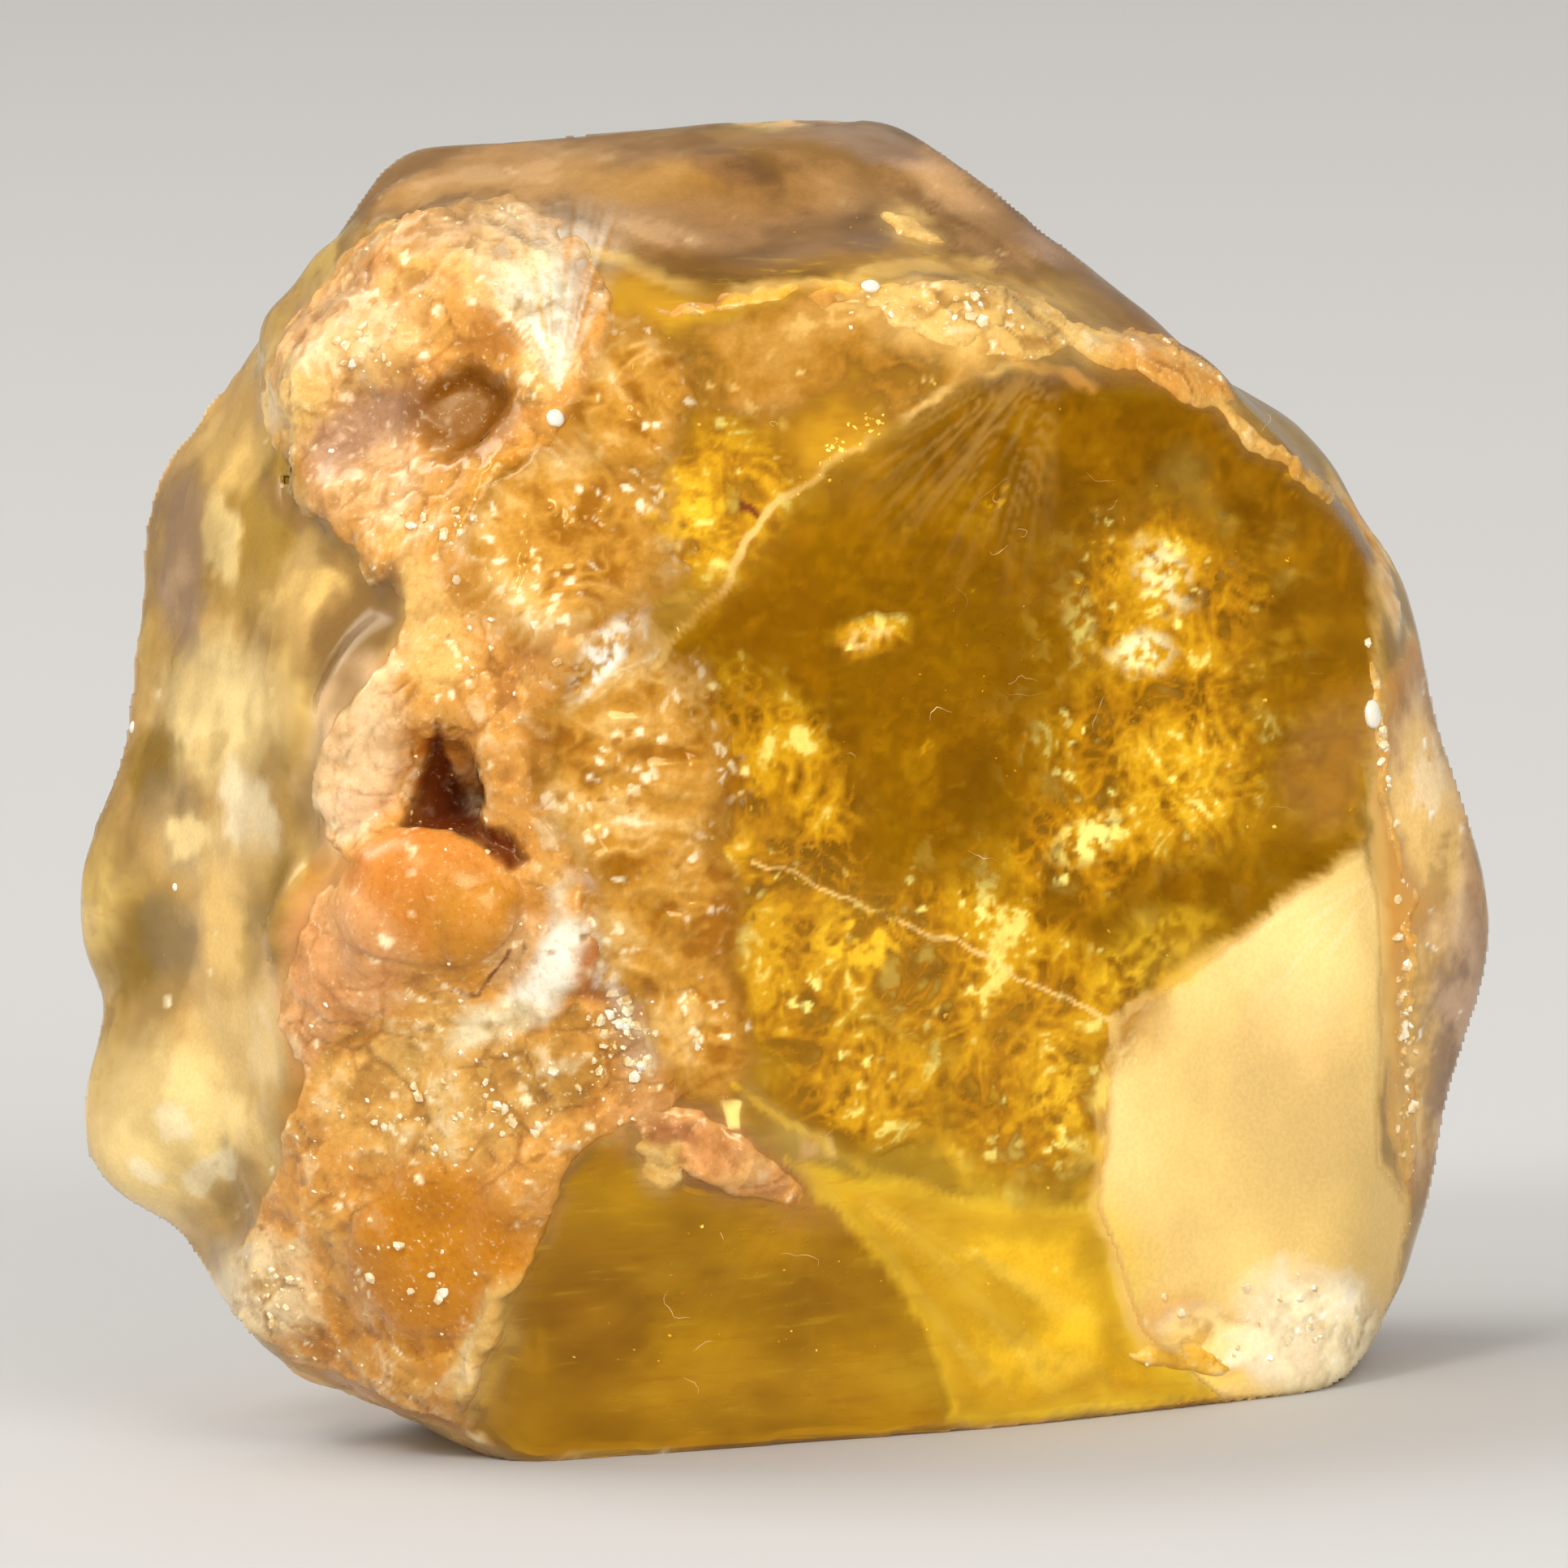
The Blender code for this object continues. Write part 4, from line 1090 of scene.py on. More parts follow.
class VeilLook(Look):
    """The look of a curling veil, how far it reaches past its ragged edge, and how high it stands."""

    def __init__(self, points, normals, colours, shape, relief, curl, curly, glints, rough, body, patchy,
                 fade):
        super().__init__(points, normals)
        heart = self.heart_of(shape, fade)
        crest = curls(points, curl, 51) * curly
        fleck = grain(points, 0.16, 58, 2) * curly
        tone = 0.55 * crest + (1 - 0.45 * curly) * grain(points, 1.7 * curl, 57, 4) + 0.15 * fleck
        self.past = heart + 0.2 * crest * (len(shape[0]) > 2)
        dark, middle, pale, bright = colours
        self.tint(np.ones(len(points)), middle)
        self.rough += rough
        plain = 1 - 0.7 * patchy
        self.tint(smooth_step((0.1 - tone) / 0.5) * 0.9 * plain, dark)
        self.tint(smooth_step((tone - 0.1) / 0.4) * 0.85 * plain, pale)
        self.paint_patches(patchy)
        self.colour *= (1 - patchy * (0.12 - 0.15 * tone))[:, None]
        self.strike_sparks(crest)
        self.tint(smooth_step((tone - 0.55) / 0.25) * 0.6 * plain, bright)
        # Painted highlights: bright specks, and a few dark ones.
        painted_flash = self.glint(0.2, 59, glints, bright, dark)
        self.colour *= (1.0 + 0.1 * fleck)[:, None]
        self.paint_lines()
        least, most = body
        solid = least + (most - least) * smooth_step((tone + 0.35) / 0.5)
        self.body = smooth_step(heart / 0.5) * np.maximum(solid, painted_flash)
        self.rise = crest
        waves = 0.6 * grain(points, 1.2, 60, 3) + 0.7 * cells(points, 0.7, 61)[1] + 0.4 * crest
        self.lift = VEIL_SEAT + (VEIL_HEIGHT + 0.8 * relief) * smooth_step(self.past / VEIL_BANK)
        self.lift += relief * heart.clip(0, 1) * waves
        self.sink = np.zeros(len(points))

    def strike_sparks(self, crest):
        """Lay on the bright and dark places, painted highlights among them, broken up along the curls."""
        ragged = self.wandering(*RAGGED)
        broken = smooth_step(0.25 + 1.7 * grain(self.points, 0.32, 62, 3) + 0.5 * crest)
        for *place, colour, strength in SPARKS.values():
            self.tint(oval(place, *ragged, 1.0) * strength * broken, colour)

    def heart_of(self, shape, fade):
        """How deep inside the veil each point is, from 0 on its rim: shaped by ovals, or by one outline."""
        if len(shape[0]) == 2:
            return depth_inside(shape, *self.wandering(*FIRM)) / fade
        near = self.wandering(*RAGGED)
        return np.max([oval_heart(place, *near) for place in shape], axis=0)


class Recipe:
    """Short words for laying down a material's nodes and joining them."""

    def __init__(self, name):
        self.material = bpy.data.materials.new(name)
        self.material.use_nodes = True
        self.tree = self.material.node_tree
        self.shader = self.tree.nodes["Principled BSDF"]
        self.place = self.node("TexCoord").outputs["Object"]

    def node(self, kind, feed=(), **settings):
        """A new node, set up and fed."""
        node = self.tree.nodes.new("ShaderNode" + kind)
        for name, value in settings.items():
            setattr(node, name, value)
        for name, value in dict(feed).items():
            self.feed(node.inputs[name], value)
        return node

    def feed(self, socket, value):
        """Join a socket to another one, or give it a value."""
        if isinstance(value, bpy.types.NodeSocket):
            self.tree.links.new(value, socket)
        else:
            socket.default_value = value

    def set(self, **sockets):
        """Feed the shader, with each socket's name written with low lines."""
        for name, value in sockets.items():
            self.feed(self.shader.inputs[name.replace("_", " ")], value)

    def attribute(self, name, output="Fac"):
        """What the mesh itself stores at each point."""
        return self.node("Attribute", attribute_name=name).outputs[output]

    def between(self, value, low, high, to_low=0.0, to_high=1.0):
        """A value carried softly from one range to another."""
        feed = {"Value": value, "From Min": low, "From Max": high, "To Min": to_low, "To Max": to_high}
        return self.node("MapRange", feed, interpolation_type="SMOOTHSTEP").outputs[0]

    def mix(self, share, under, over, blend_type="MIX"):
        """One colour laid over another."""
        node = self.node("Mix", data_type="RGBA", blend_type=blend_type)
        for index, value in ((0, share), (6, under), (7, over)):
            value = (*value, 1.0) if isinstance(value, tuple) and len(value) == 3 else value
            self.feed(node.inputs[index], value)
        return node.outputs[2]

    def noise(self, size, detail=4.0, roughness=0.55, vector=None):
        """Cloudy noise whose lumps are size millimetres across."""
        feed = {"Vector": vector or self.place, "Scale": 1 / (size * MM), "Detail": detail,
                "Roughness": roughness}
        return self.node("TexNoise", feed).outputs["Fac"]

    def ramp(self, value, *stops):
        """A colour picked along a row of stops."""
        node = self.node("ValToRGB", {"Fac": value})
        marks = node.color_ramp.elements
        while len(marks) < len(stops):
            marks.new(0.5)
        for mark, (position, colour) in zip(marks, stops):
            mark.position = position
            mark.color = (*colour, 1.0)
        return node.outputs["Color"]


def crystal_material(settings):
    """Golden glass whose streaks darken and lighten its own colour."""
    recipe = Recipe("garnet_crystal_surface")
    colour = recipe.attribute("tint", "Color")
    clear = recipe.attribute("clear")
    lean = {"Vector": recipe.place, "Rotation": (0.3, 0.9, 0.0), "Scale": (0.25, 1.0, 1.6)}
    streak = recipe.noise(0.4, 3.0, 0.65, recipe.node("Mapping", lean).outputs[0])
    deep = recipe.mix(1.0, colour, (0.75, 0.62, 0.4), "MULTIPLY")
    streaked = recipe.mix(recipe.between(streak, 0.5, 0.3, 0.0, 0.5), colour, deep)
    lit = recipe.mix(recipe.between(streak, 0.56, 0.75, 0.0, 0.45), streaked, COLOURS["sun"])
    streaky = recipe.mix(recipe.between(clear, 0.2, 0.5), colour, lit)
    recipe.set(Base_Color=streaky, Roughness=recipe.attribute("rough"), Transmission_Weight=clear,
               IOR=settings.refraction, Specular_Tint=(*settings.gloss, 1))
    absorb = recipe.node("VolumeAbsorption", {"Color": (*settings.stain, 1), "Density": settings.density})
    recipe.tree.links.new(absorb.outputs[0], recipe.tree.nodes["Material Output"].inputs["Volume"])
    return recipe.material


def crust_material(settings):
    """Waxy crust, pitted more finely than its squares, with shade painted in its fine pits and light on its
    fine bumps.
    """
    recipe = Recipe("garnet_crust")
    colour = recipe.attribute("tint", "Color")
    mottle = recipe.noise(0.13, 3.0, 0.6)
    # Painted shade where the fine bump is low, painted light where it is high.
    pit_shade = recipe.mix(1.0, colour, (0.8, 0.62, 0.36), "MULTIPLY")
    shaded = recipe.mix(recipe.between(mottle, 0.5, 0.3, 0.0, 0.5), colour, pit_shade)
    shaded_and_lit = recipe.mix(recipe.between(mottle, 0.58, 0.74, 0.0, 0.3), shaded, COLOURS["cream"])
    tiny = recipe.node("Bump", {"Height": mottle, "Strength": 0.25, "Distance": 0.03 * MM})
    recipe.set(Base_Color=shaded_and_lit, Roughness=recipe.attribute("rough"), IOR=1.5, Normal=tiny.outputs[0],
               Specular_Tint=(*settings.gloss, 1), Alpha=recipe.attribute("body"),
               Subsurface_Weight=settings.glow, Subsurface_Radius=(1.0, 0.5, 0.2), Subsurface_Scale=0.4 * MM)
    return recipe.material


def veil_material(settings):
    """Thin golden skin that lets the crystal show between its curls."""
    recipe = Recipe("golden_veil")
    mottle = recipe.noise(0.09, 2.0, 0.6)
    shade = recipe.between(mottle, 0.3, 0.7, 0.94, 1.05)
    grey = recipe.node("CombineColor", {"Red": shade, "Green": shade, "Blue": shade}).outputs[0]
    colour = recipe.mix(1.0, recipe.attribute("tint", "Color"), grey, "MULTIPLY")
    recipe.set(Base_Color=colour, Roughness=recipe.attribute("rough"), IOR=1.45,
               Specular_Tint=(*settings.gloss, 1), Alpha=recipe.attribute("body"))
    return recipe.material


def flake_material():
    """Bright gold, patchily polished."""
    recipe = Recipe("gold_flake")
    patches = recipe.noise(0.4, 2.0, 0.6)
    colour = recipe.ramp(patches, (0.3, COLOURS["gold"]), (0.5, COLOURS["sun"]), (0.68, COLOURS["lemon"]))
    recipe.set(Base_Color=colour, Roughness=recipe.between(patches, 0.3, 0.7, 0.3, 0.12), IOR=1.5)
    return recipe.material


def grain_material():
    """Pale grains that let a little light through."""
    recipe = Recipe("crust_grain")
    patches = recipe.noise(0.35, 2.0, 0.6)
    stops = ((0.34, COLOURS["butter"]), (0.54, COLOURS["cream"]), (0.7, COLOURS["white"]))
    colour = recipe.ramp(patches, *stops)
    recipe.set(Base_Color=colour, Roughness=recipe.between(patches, 0.35, 0.65, 0.3, 0.08), IOR=1.6,
               Transmission_Weight=0.25)
    return recipe.material


def thread_material():
    """Pale thread, gold in places."""
    recipe = Recipe("pale_thread")
    colour = recipe.mix(recipe.noise(0.6, 2.0), COLOURS["gold"], COLOURS["cream"])
    rough = recipe.between(recipe.noise(0.2, 2.0), 0.3, 0.7, 0.35, 0.6)
    recipe.set(Base_Color=colour, Roughness=rough, IOR=1.5)
    return recipe.material


def bead_material():
    """Clear white glass."""
    recipe = Recipe("bright_bead")
    recipe.set(Base_Color=(*COLOURS["white"], 1), Roughness=0.12, IOR=1.6, Transmission_Weight=0.3)
    return recipe.material


def store(mesh, name, values, kind="FLOAT", word="value"):
    """Keep a value at each point of a mesh, for its material."""
    layer = mesh.attributes.new(name, kind, "POINT")
    layer.data.foreach_set(word, values.astype(np.float32).ravel())


def store_look(mesh, look):
    """Keep the colour and roughness of a look."""
    opaque = np.ones((len(look.points), 1))
    store(mesh, "tint", np.concatenate([look.colour, opaque], axis=1), "FLOAT_COLOR", "color")
    store(mesh, "rough", look.rough)


def surface_tree(*names):
    """The surfaces of finished pieces, as trees that rays can be cast at."""
    trees = []
    for name in names:
        bm = bmesh.new()
        bm.from_mesh(bpy.data.objects[name].data)
        trees.append(BVHTree.FromBMesh(bm))
        bm.free()
    return trees


def front_hit(trees, across, height):
    """Where the foremost surface is, and which way it faces, at a place seen from the front."""
    level = Vector((across * MM, FRONT_FOOT, height * MM / math.cos(FRONT_SLOPE)))
    hits = [tree.ray_cast(level + TOWARDS * SIGHT, -TOWARDS) for tree in trees]
    hits = [hit for hit in hits if hit[0] is not None]
    return min(hits, key=lambda hit: hit[3])[:2] if hits else (None, None)


def finished(name, bm, material, smooth=False):
    """The piece made of a bmesh, in its place on the crystal."""
    if not bm.faces:
        raise RuntimeError(f"{name} has come out empty")
    mesh = bpy.data.meshes.new(name)
    bm.normal_update()
    bm.to_mesh(mesh)
    bm.free()
    if smooth:
        mesh.shade_smooth()
    mesh.materials.append(material)
    piece = link(bpy.data.objects.new(name, mesh))
    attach(piece, "root")
    return piece


def scattered(name, shape, places, material, smooth=False):
    """One piece with a copy of the small shape at each place."""
    bm = bmesh.new()
    for place in places:
        copy = shape.copy()
        copy.transform(place)
        bm.from_mesh(copy)
        bpy.data.meshes.remove(copy)
    bpy.data.meshes.remove(shape)
    return finished(name, bm, material, smooth)


def uneven(bm, name, low, high, seed):
    """A small shape's mesh, its corners pushed in and out at random."""
    draw = random.Random(seed)
    for vert in bm.verts:
        vert.co *= 1 + draw.uniform(low, high)
    bmesh.ops.recalc_face_normals(bm, faces=bm.faces)
    mesh = bpy.data.meshes.new(name)
    bm.to_mesh(mesh)
    bm.free()
    return mesh


def small_plate():
    """A thin ragged plate, one across."""
    bm = bmesh.new()
    bmesh.ops.create_cone(bm, cap_ends=True, cap_tris=True, segments=8, radius1=0.5, radius2=0.38, depth=0.1)
    return uneven(bm, "plate", -0.55, 0.2, 3)


def small_grain():
    """A stubby crystal grain, one across."""
    bm = bmesh.new()
    bmesh.ops.create_icosphere(bm, subdivisions=1, radius=0.5)
    return uneven(bm, "grain", -0.25, 0.2, 4)


def small_bead():
    """A bead that isn't quite round, two across."""
    bm = bmesh.new()
    bmesh.ops.create_icosphere(bm, subdivisions=3, radius=1.0)
    return uneven(bm, "bead", -0.06, 0.04, 6)


def turned(draw, place, facing, tilt, sizes):
    """A place for a small shape: facing roughly one way, turned and sized at random."""
    way = (Vector(facing) + Vector([draw.gauss(0, tilt) for _ in range(3)])).normalized()
    turn = way.to_track_quat("Z", "Y").to_matrix().to_4x4()
    turn = turn @ Matrix.Rotation(draw.uniform(0, math.tau), 4, "Z")
    return Matrix.Translation(place) @ turn @ Matrix.Diagonal((*[size * MM for size in sizes], 1))


def spots_in(draw, trees, middle, level, wide, tall, turn, count):
    """Places strewn over an oval on the front, most of them near its middle."""
    cos, sin = math.cos(math.radians(turn)), math.sin(math.radians(turn))
    for _ in range(count):
        along, up = draw.gauss(0, 0.5) * wide, draw.gauss(0, 0.5) * tall
        spot, facing = front_hit(trees, middle + along * cos - up * sin, level + along * sin + up * cos)
        if spot is not None and facing.dot(TOWARDS) > SPOT_FACING:
            yield spot, facing


def trim(bm):
    """Take away loose points, and points where the sheet only touches itself, until none are left."""
    pinched = [True]
    while pinched:
        pinched = [v for v in bm.verts if not v.link_faces or sum(e.is_boundary for e in v.link_edges) > 2]
        bmesh.ops.delete(bm, geom=pinched, context="VERTS")


def lay_sheet(name, outlines, margin, step, look_at, shell, material):
    """One closed ragged sheet laid on the crystal's front, kept where its look reaches past its edge."""
    corners = np.concatenate([np.array(outline) for outline in outlines])
    low, high = corners.min(axis=0) - margin, corners.max(axis=0) + margin
    columns, rows = (int(count) for count in (high - low) / step)
    bm = bmesh.new()
    bmesh.ops.create_grid(bm, x_segments=columns, y_segments=rows, size=1.0)
    flat = low + (np.array([v.co.xy for v in bm.verts]) + 1) / 2 * (high - low)
    trees = surface_tree("crystal_surface")
    unseen = []
    for vert, place, depth in zip(bm.verts, flat, depth_in_any(outlines, *flat.T)):
        spot, facing = front_hit(trees, *place) if depth > -margin else (None, None)
        if spot is None or facing.dot(TOWARDS) < SHEET_FACING:
            unseen.append(vert)
        else:
            vert.co = spot
    bmesh.ops.delete(bm, geom=unseen, context="VERTS")
    look = look_at(*places_of(bm))
    bmesh.ops.delete(bm, geom=[v for v, past in zip(bm.verts, look.past) if past < 0], context="VERTS")
    trim(bm)
    look = look_at(*places_of(bm))
    layers = bm.verts.layers
    tint = layers.float_color.new("tint")
    rough, rise, body = (layers.float.new(name) for name in ("rough", "rise", "body"))
    for index, vert in enumerate(bm.verts):
        vert.co += (vert.normal * float(look.lift[index]) - TOWARDS * float(look.sink[index])) * MM
        vert[tint] = (*look.colour[index], 1.0)
        vert[rough], vert[rise], vert[body] = look.rough[index], look.rise[index], look.body[index]
    backed = bmesh.ops.extrude_face_region(bm, geom=bm.faces[:], use_keep_orig=True)["geom"]
    for vert in (part for part in backed if isinstance(part, bmesh.types.BMVert)):
        vert.co -= TOWARDS * shell * MM
    bmesh.ops.recalc_face_normals(bm, faces=bm.faces)
    return finished(name, bm, material, True)


class GARNET_OT_crystal(bpy.types.Operator):
    """Lay the fine surface over the packed crystal"""

    bl_idname = "garnet.crystal"
    bl_label = "Crystal"

    def execute(self, context):
        settings = context.scene.garnet_crystal
        bm = draped_sphere(settings.cuts, FRONT_LEAN)
        for _ in range(SMOOTHING):
            bmesh.ops.smooth_vert(bm, verts=bm.verts, factor=0.5, use_axis_x=True, use_axis_y=True,
                                  use_axis_z=True)
            self.set_down(bm)
        points, normals = places_of(bm)
        look = GlassLook(points, normals)
        above = smooth_step(points[:, 2] / FOOT_FADE)
        moved = points + normals * (look.lift() * above * MM)[:, None]
        for vert, place in zip(bm.verts, moved):
            vert.co = place
        self.set_down(bm)
        piece = finished("crystal_surface", bm, crystal_material(settings), True)
        store_look(piece.data, look)
        store(piece.data, "clear", look.clear)
        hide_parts(CRYSTAL)
        return {"FINISHED"}

    def set_down(self, bm):
        """Lay the points that are nearest to the floor flat on it."""
        for vert in bm.verts:
            if vert.co.z < SET_DOWN:
                vert.co.z = 0.0


class GARNET_OT_crust(bpy.types.Operator):
    """Lay the crust on the crystal's front"""

    bl_idname = "garnet.crust"
    bl_label = "Crust"

    def execute(self, context):
        settings = context.scene.garnet_crust
        step, shell = settings.step / MM, settings.shell / MM
        material = crust_material(settings)
        for name, (relief, outlines) in CRUSTS.items():
            look_at = partial(CrustLook, outlines=outlines, relief=relief)
            lay_sheet(name, outlines, CRUST_MARGIN, step, look_at, shell, material)
        self.open_holes(bpy.data.objects["crystal_surface"].data, settings.shell)
        return {"FINISHED"}

    def open_holes(self, mesh, shell):
        """Push the clear crystal in behind the crust's holes."""
        points = np.array([vert.co for vert in mesh.vertices])
        front = np.array([vert.normal.dot(TOWARDS) > 0 for vert in mesh.vertices])
        for deep, *_, outline in HOLES.values():
            share = smooth_step((depth_inside(outline, *seen(points)) + HOLE_MOUTH) / HOLE_RIM) * front
            points -= TOWARDS_FRONT * ((deep * MM + shell) * share)[:, None]
        mesh.vertices.foreach_set("co", points.ravel())
        mesh.update()


class GARNET_OT_veils(bpy.types.Operator):
    """Lay the curling golden veils over the clear faces"""

    bl_idname = "garnet.veils"
    bl_label = "Golden veils"

    def execute(self, context):
        settings = context.scene.garnet_inclusions
        material = veil_material(settings)
        for name, (step, manner) in VEILS.items():
            look_at = partial(VeilLook, **manner)
            outlines = self.outlines_of(manner["shape"])
            lay_sheet(name, outlines, VEIL_MARGIN, step, look_at, settings.shell / MM, material)
        return {"FINISHED"}

    def outlines_of(self, shape):
        """The outlines that a veil fills: one round each of its ovals, or its own."""
        if len(shape[0]) == 2:
            return [shape]
        return [ring(across, height, wide * VEIL_REACH, tall * VEIL_REACH, turn)
                for across, height, wide, tall, turn in shape]


class GARNET_OT_flakes(bpy.types.Operator):
    """Scatter golden flakes just inside the clear faces"""

    bl_idname = "garnet.flakes"
    bl_label = "Golden flakes"

    def execute(self, context):
        draw = random.Random(11)
        trees = surface_tree("crystal_surface")
        places = []
        for *oval_place, count, small, large, deepest in FLAKES.values():
            for spot, facing in spots_in(draw, trees, *oval_place, count):
                size = draw.uniform(small, large)
                depth = draw.uniform(0.0, deepest) * MM
                sizes = (size, size * draw.uniform(0.4, 1.0), size)
                places.append(turned(draw, spot - facing * depth, facing, FLAKE_TILT, sizes))
        scattered("gold_flakes", small_plate(), places, flake_material())
        return {"FINISHED"}


class GARNET_OT_grains(bpy.types.Operator):
    """Scatter small bright crystals over the crust"""

    bl_idname = "garnet.grains"
    bl_label = "Crust grains"

    def execute(self, context):
        settings = context.scene.garnet_inclusions
        smallest, wider = settings.smallest / MM, (settings.largest - settings.smallest) / MM
        draw = random.Random(12)
        trees = surface_tree("crystal_surface", *CRUSTS)
        places = []
        for oval_place in GLITTER.values():
            for spot, facing in spots_in(draw, trees, *oval_place):
                size = smallest + wider * draw.random() ** 3
                sizes = (size, size * draw.uniform(0.5, 1.0), size * draw.uniform(0.5, 1.4))
                places.append(turned(draw, spot - facing * GRAIN_SEAT, facing, GRAIN_TILT, sizes))
        for name in CRUSTS:
            mesh = bpy.data.objects[name].data
            rise = np.zeros(len(mesh.vertices), dtype=np.float32)
            mesh.attributes["rise"].data.foreach_get("value", rise)
            for vert in mesh.vertices:
                chance = 0.03 * max(noise.noise(vert.co / (1.2 * MM)), 0.0)
                chance += 0.02 * (rise[vert.index] > 0.35)
                if vert.normal.dot(TOWARDS) < GRAIN_FACING or draw.random() > chance:
                    continue
                size = draw.uniform(0.05, 0.15)
                sizes = (size, size * draw.uniform(0.5, 1.0), size * draw.uniform(0.6, 1.6))
                place = vert.co - vert.normal * GRAIN_SEAT
                places.append(turned(draw, place, vert.normal, GRAIN_TILT, sizes))
        scattered("crust_grains", small_grain(), places, grain_material())
        return {"FINISHED"}


class GARNET_OT_beads(bpy.types.Operator):
    """Set the single bright beads"""

    bl_idname = "garnet.beads"
    bl_label = "Bright beads"

    def execute(self, context):
        trees = surface_tree("crystal_surface", *CRUSTS)
        places = []
        for across, height, wide, tall in BEADS.values():
            spot, facing = front_hit(trees, across, height)
            turn = facing.to_track_quat("Z", "Y").to_matrix().to_4x4()
            size = Matrix.Diagonal((wide * MM, tall * MM, min(wide, tall) * 0.6 * MM, 1))
            places.append(Matrix.Translation(spot) @ turn @ size)
        scattered("bright_beads", small_bead(), places, bead_material(), smooth=True)
        return {"FINISHED"}


class GARNET_OT_threads(bpy.types.Operator):
    """Lay fine pale threads and scratches just under the clear faces"""

    bl_idname = "garnet.threads"
    bl_label = "Pale threads"

    def execute(self, context):
        draw = random.Random(13)
        trees = surface_tree("crystal_surface")
        line = bpy.data.curves.new("threads", "CURVE")
        line.dimensions = "3D"
        line.bevel_depth = 1.0
        line.bevel_resolution = 0
        line.use_fill_caps = True
        steps = context.scene.garnet_inclusions.thread_steps
        for *oval_place, count, length, curl, thick in THREADS.values():
            for _ in range(count):
                self.lay(line, draw, trees, oval_place, length, curl, thick, steps)
        source = link(bpy.data.objects.new("threads_source", line))
        mesh = bpy.data.meshes.new_from_object(source)
        bpy.data.objects.remove(source)
        bm = bmesh.new()
        bm.from_mesh(mesh)
        finished("pale_threads", bm, thread_material(), True)
        return {"FINISHED"}

    def lay(self, line, draw, trees, place, length, curl, thick, steps):
        """One thread that wanders over the surface."""
        middle, level, wide, tall = place
        x, y = middle + draw.gauss(0, 0.5) * wide, level + draw.gauss(0, 0.5) * tall
        heading, bend = draw.uniform(0, math.tau), draw.gauss(0, curl)
        step = length * draw.uniform(0.4, 1.3) / steps
        sunk = draw.uniform(-0.004, 0.02) * MM
        path = []
        for _ in range(steps):
            spot, facing = front_hit(trees, x, y)
            if spot is None:
                return
            path.append(spot - facing * sunk)
            x, y = x + step * math.cos(heading), y + step * math.sin(heading)
            heading += bend / steps + draw.gauss(0, 0.4)
        spline = line.splines.new("POLY")
        spline.points.add(len(path) - 1)
        for index, (point, spot) in enumerate(zip(spline.points, path)):
            point.co = (*spot, 1)
            swell = 0.3 + 0.7 * math.sin(math.pi * (index + 0.5) / steps)
            point.radius = thick * MM * draw.uniform(0.6, 1.2) * swell


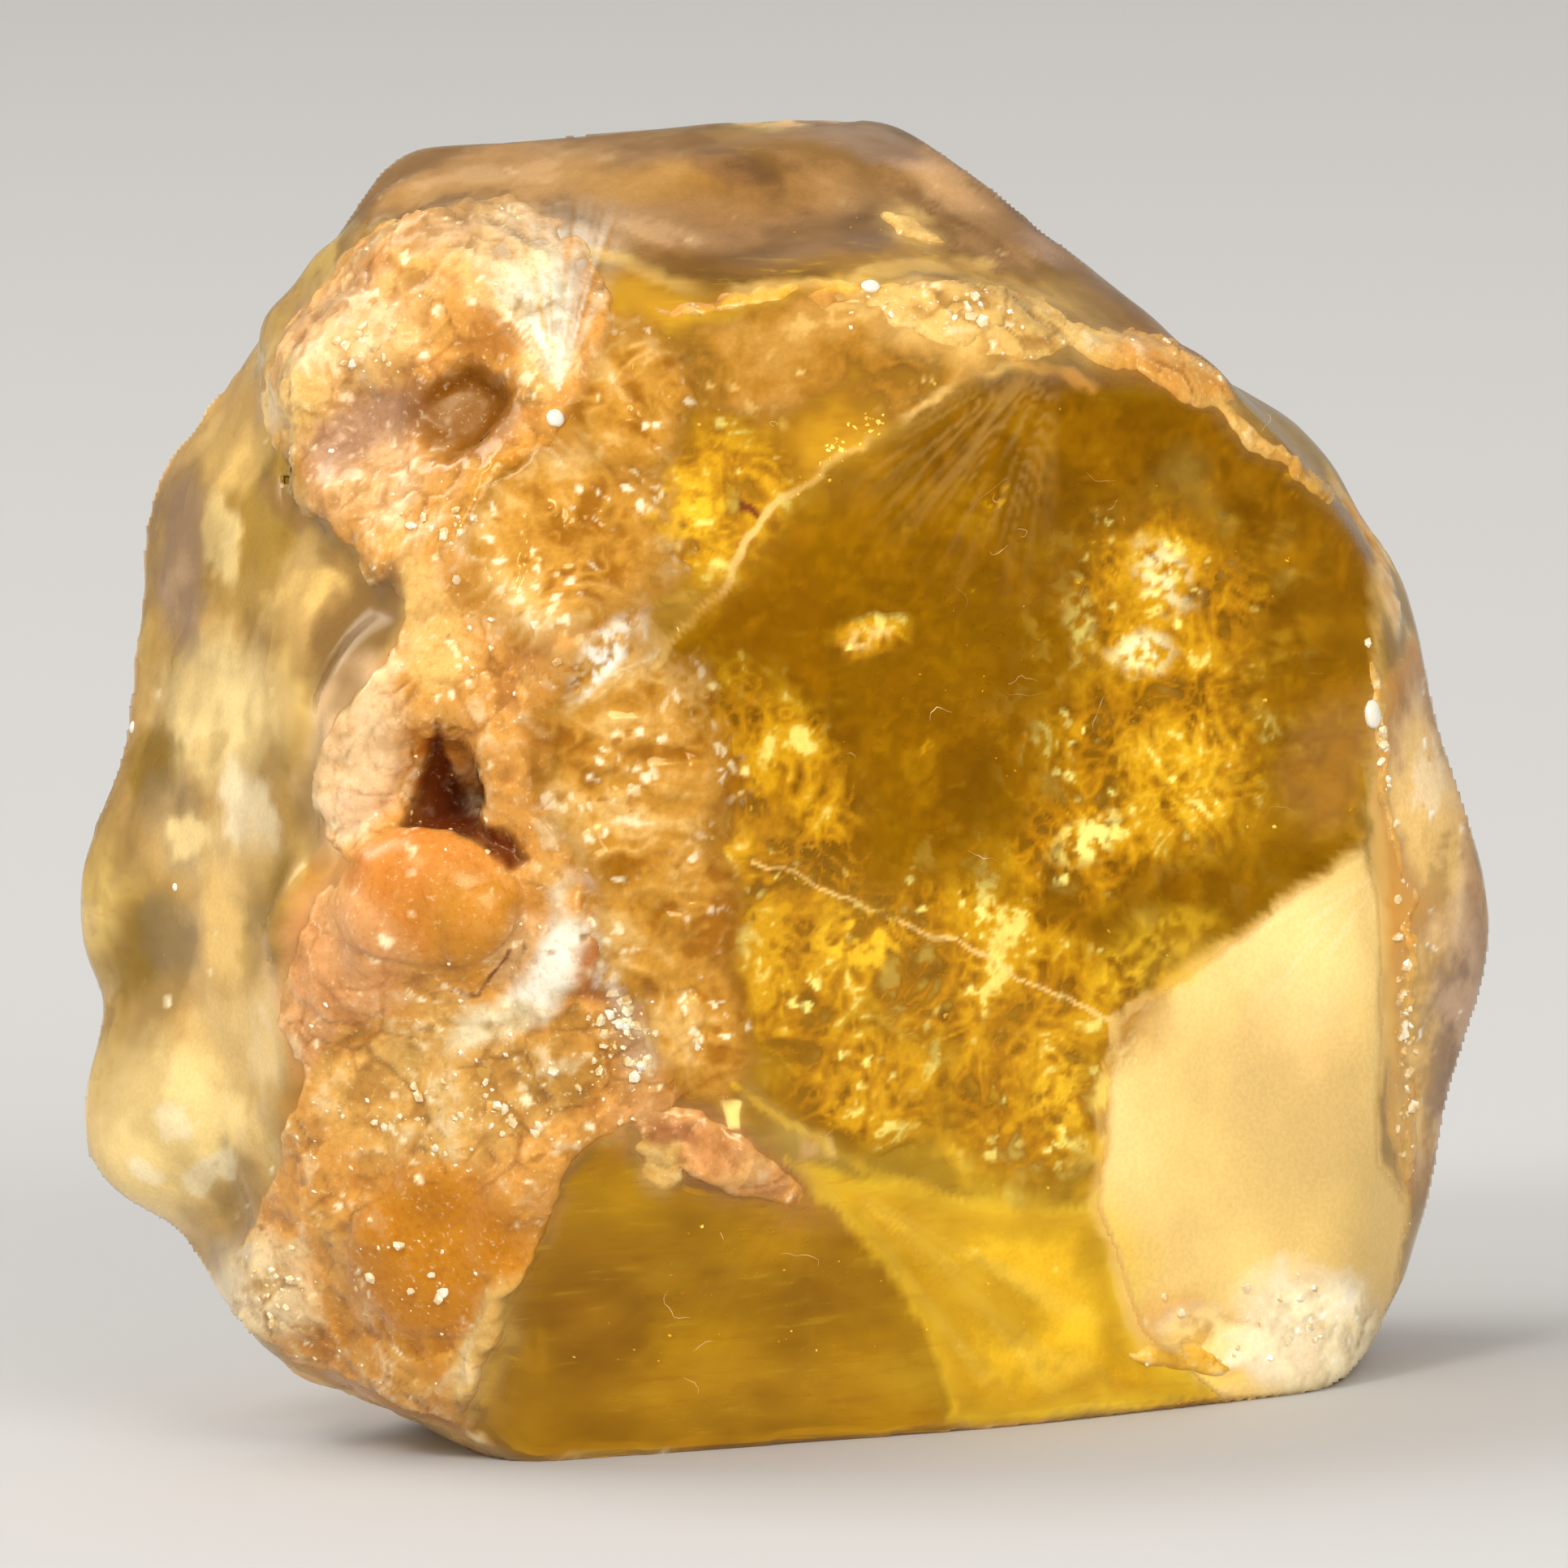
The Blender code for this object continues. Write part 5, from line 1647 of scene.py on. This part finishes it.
class GARNET_OT_studio(bpy.types.Operator):
    """Set the floor, the lights and the camera"""

    bl_idname = "garnet.studio"
    bl_label = "Studio"

    def execute(self, context):
        settings = context.scene.garnet_studio
        self.roll_out_paper(settings.paper)
        self.place_camera(context.scene, settings.distance)
        self.light_surroundings(context.scene, settings.sky)
        for name, (place, size, _) in LIGHTS.items():
            self.hang_light(name, Vector(place), size, getattr(settings, name))
        context.scene.view_settings.view_transform = "Standard"
        return {"FINISHED"}

    def roll_out_paper(self, colour):
        """A floor that bends up into a backdrop."""
        bm = bmesh.new()
        bmesh.ops.create_grid(bm, x_segments=1, y_segments=PAPER_STRIPS, size=PAPER_REACH)
        for vert in bm.verts:
            past = (vert.co.y - PAPER_BEND) / PAPER_RADIUS
            if past > 0:
                angle = min(past, math.pi / 2)
                vert.co.z = PAPER_RADIUS * (1 - math.cos(angle)) + PAPER_RADIUS * max(past - math.pi / 2, 0)
                vert.co.y = PAPER_BEND + PAPER_RADIUS * math.sin(angle)
        mesh = bpy.data.meshes.new("backdrop")
        bm.to_mesh(mesh)
        bm.free()
        mesh.shade_smooth()
        recipe = Recipe("backdrop_paper")
        recipe.set(Base_Color=(*colour, 1), Roughness=0.8)
        mesh.materials.append(recipe.material)
        link(bpy.data.objects.new("backdrop", mesh))

    def place_camera(self, scene, distance):
        """A long lens that looks down the front's slope, tipped a little to one side."""
        lens = bpy.data.cameras.new("camera")
        lens.sensor_width = SENSOR
        lens.lens = SENSOR * distance / FRAME_WIDTH
        lens.clip_start, lens.clip_end = CLIPPED
        right = Vector((1, 0, 0))
        turn = Matrix((right, TOWARDS.cross(right), TOWARDS)).transposed()
        turn = turn @ Matrix.Rotation(-CAMERA_ROLL, 3, "Z")
        camera = link(bpy.data.objects.new("camera", lens))
        camera.matrix_world = Matrix.Translation(FRAME_MIDDLE + TOWARDS * distance) @ turn.to_4x4()
        scene.camera = camera

    def light_surroundings(self, scene, brightest):
        """A soft glow that is strongest above on the left."""
        world = bpy.data.worlds.new("surroundings")
        world.use_nodes = True
        nodes, links = world.node_tree.nodes, world.node_tree.links
        way = nodes.new("ShaderNodeTexCoord").outputs["Generated"]
        lean = nodes.new("ShaderNodeVectorMath")
        lean.operation = "DOT_PRODUCT"
        links.new(way, lean.inputs[0])
        lean.inputs[1].default_value = BRIGHTEST_WAY
        glow = nodes.new("ShaderNodeMapRange")
        glow.inputs["From Min"].default_value, glow.inputs["From Max"].default_value = GROWS_BETWEEN
        glow.inputs["To Min"].default_value = DARKEST
        glow.inputs["To Max"].default_value = brightest
        links.new(lean.outputs["Value"], glow.inputs["Value"])
        links.new(glow.outputs[0], nodes["Background"].inputs["Strength"])
        nodes["Background"].inputs["Color"].default_value = (1, 0.98, 0.95, 1)
        scene.world = world

    def hang_light(self, name, place, size, power):
        """A soft square light that looks at the crystal."""
        light = bpy.data.lights.new(name, "AREA")
        light.size = size
        light.energy = power
        lamp = link(bpy.data.objects.new(name, light))
        lamp.location = place
        lamp.rotation_euler = (place - LIT_POINT).to_track_quat("Z", "Y").to_euler()


SETTINGS = {
    "garnet_crystal": GARNET_PG_crystal,
    "garnet_crust": GARNET_PG_crust,
    "garnet_inclusions": GARNET_PG_inclusions,
    "garnet_studio": GARNET_PG_studio,
}
OPERATORS = (GARNET_OT_crystal, GARNET_OT_crust, GARNET_OT_veils, GARNET_OT_flakes, GARNET_OT_grains,
             GARNET_OT_beads, GARNET_OT_threads, GARNET_OT_studio)


class GARNET_PT_sidebar(bpy.types.Panel):
    """Builds the garnet, piece by piece"""

    bl_idname = "GARNET_PT_sidebar"
    bl_label = "Rough garnet"
    bl_space_type = "VIEW_3D"
    bl_region_type = "UI"
    bl_category = "Garnet"

    def draw(self, context):
        for name, group in SETTINGS.items():
            box = self.layout.box()
            box.label(text=group.__doc__)
            for value in group.__annotations__:
                box.prop(getattr(context.scene, name), value)
        for operator in OPERATORS:
            self.layout.operator(operator.bl_idname)


CLASSES = (*SETTINGS.values(), *OPERATORS, GARNET_PT_sidebar)


def register():
    """Make the classes and the scene's settings known to Blender."""
    for cls in CLASSES:
        bpy.utils.register_class(cls)
    for name, group in SETTINGS.items():
        setattr(bpy.types.Scene, name, PointerProperty(type=group))


def unregister():
    """Take the settings and classes back."""
    for name in SETTINGS:
        delattr(bpy.types.Scene, name)
    for cls in reversed(CLASSES):
        bpy.utils.unregister_class(cls)


def main():
    """Build the garnet and its studio."""
    register()
    bpy.ops.garnet.crystal()
    bpy.ops.garnet.crust()
    bpy.ops.garnet.veils()
    bpy.ops.garnet.flakes()
    bpy.ops.garnet.grains()
    bpy.ops.garnet.beads()
    bpy.ops.garnet.threads()
    bpy.ops.garnet.studio()


if __name__ == "__main__":
    main()
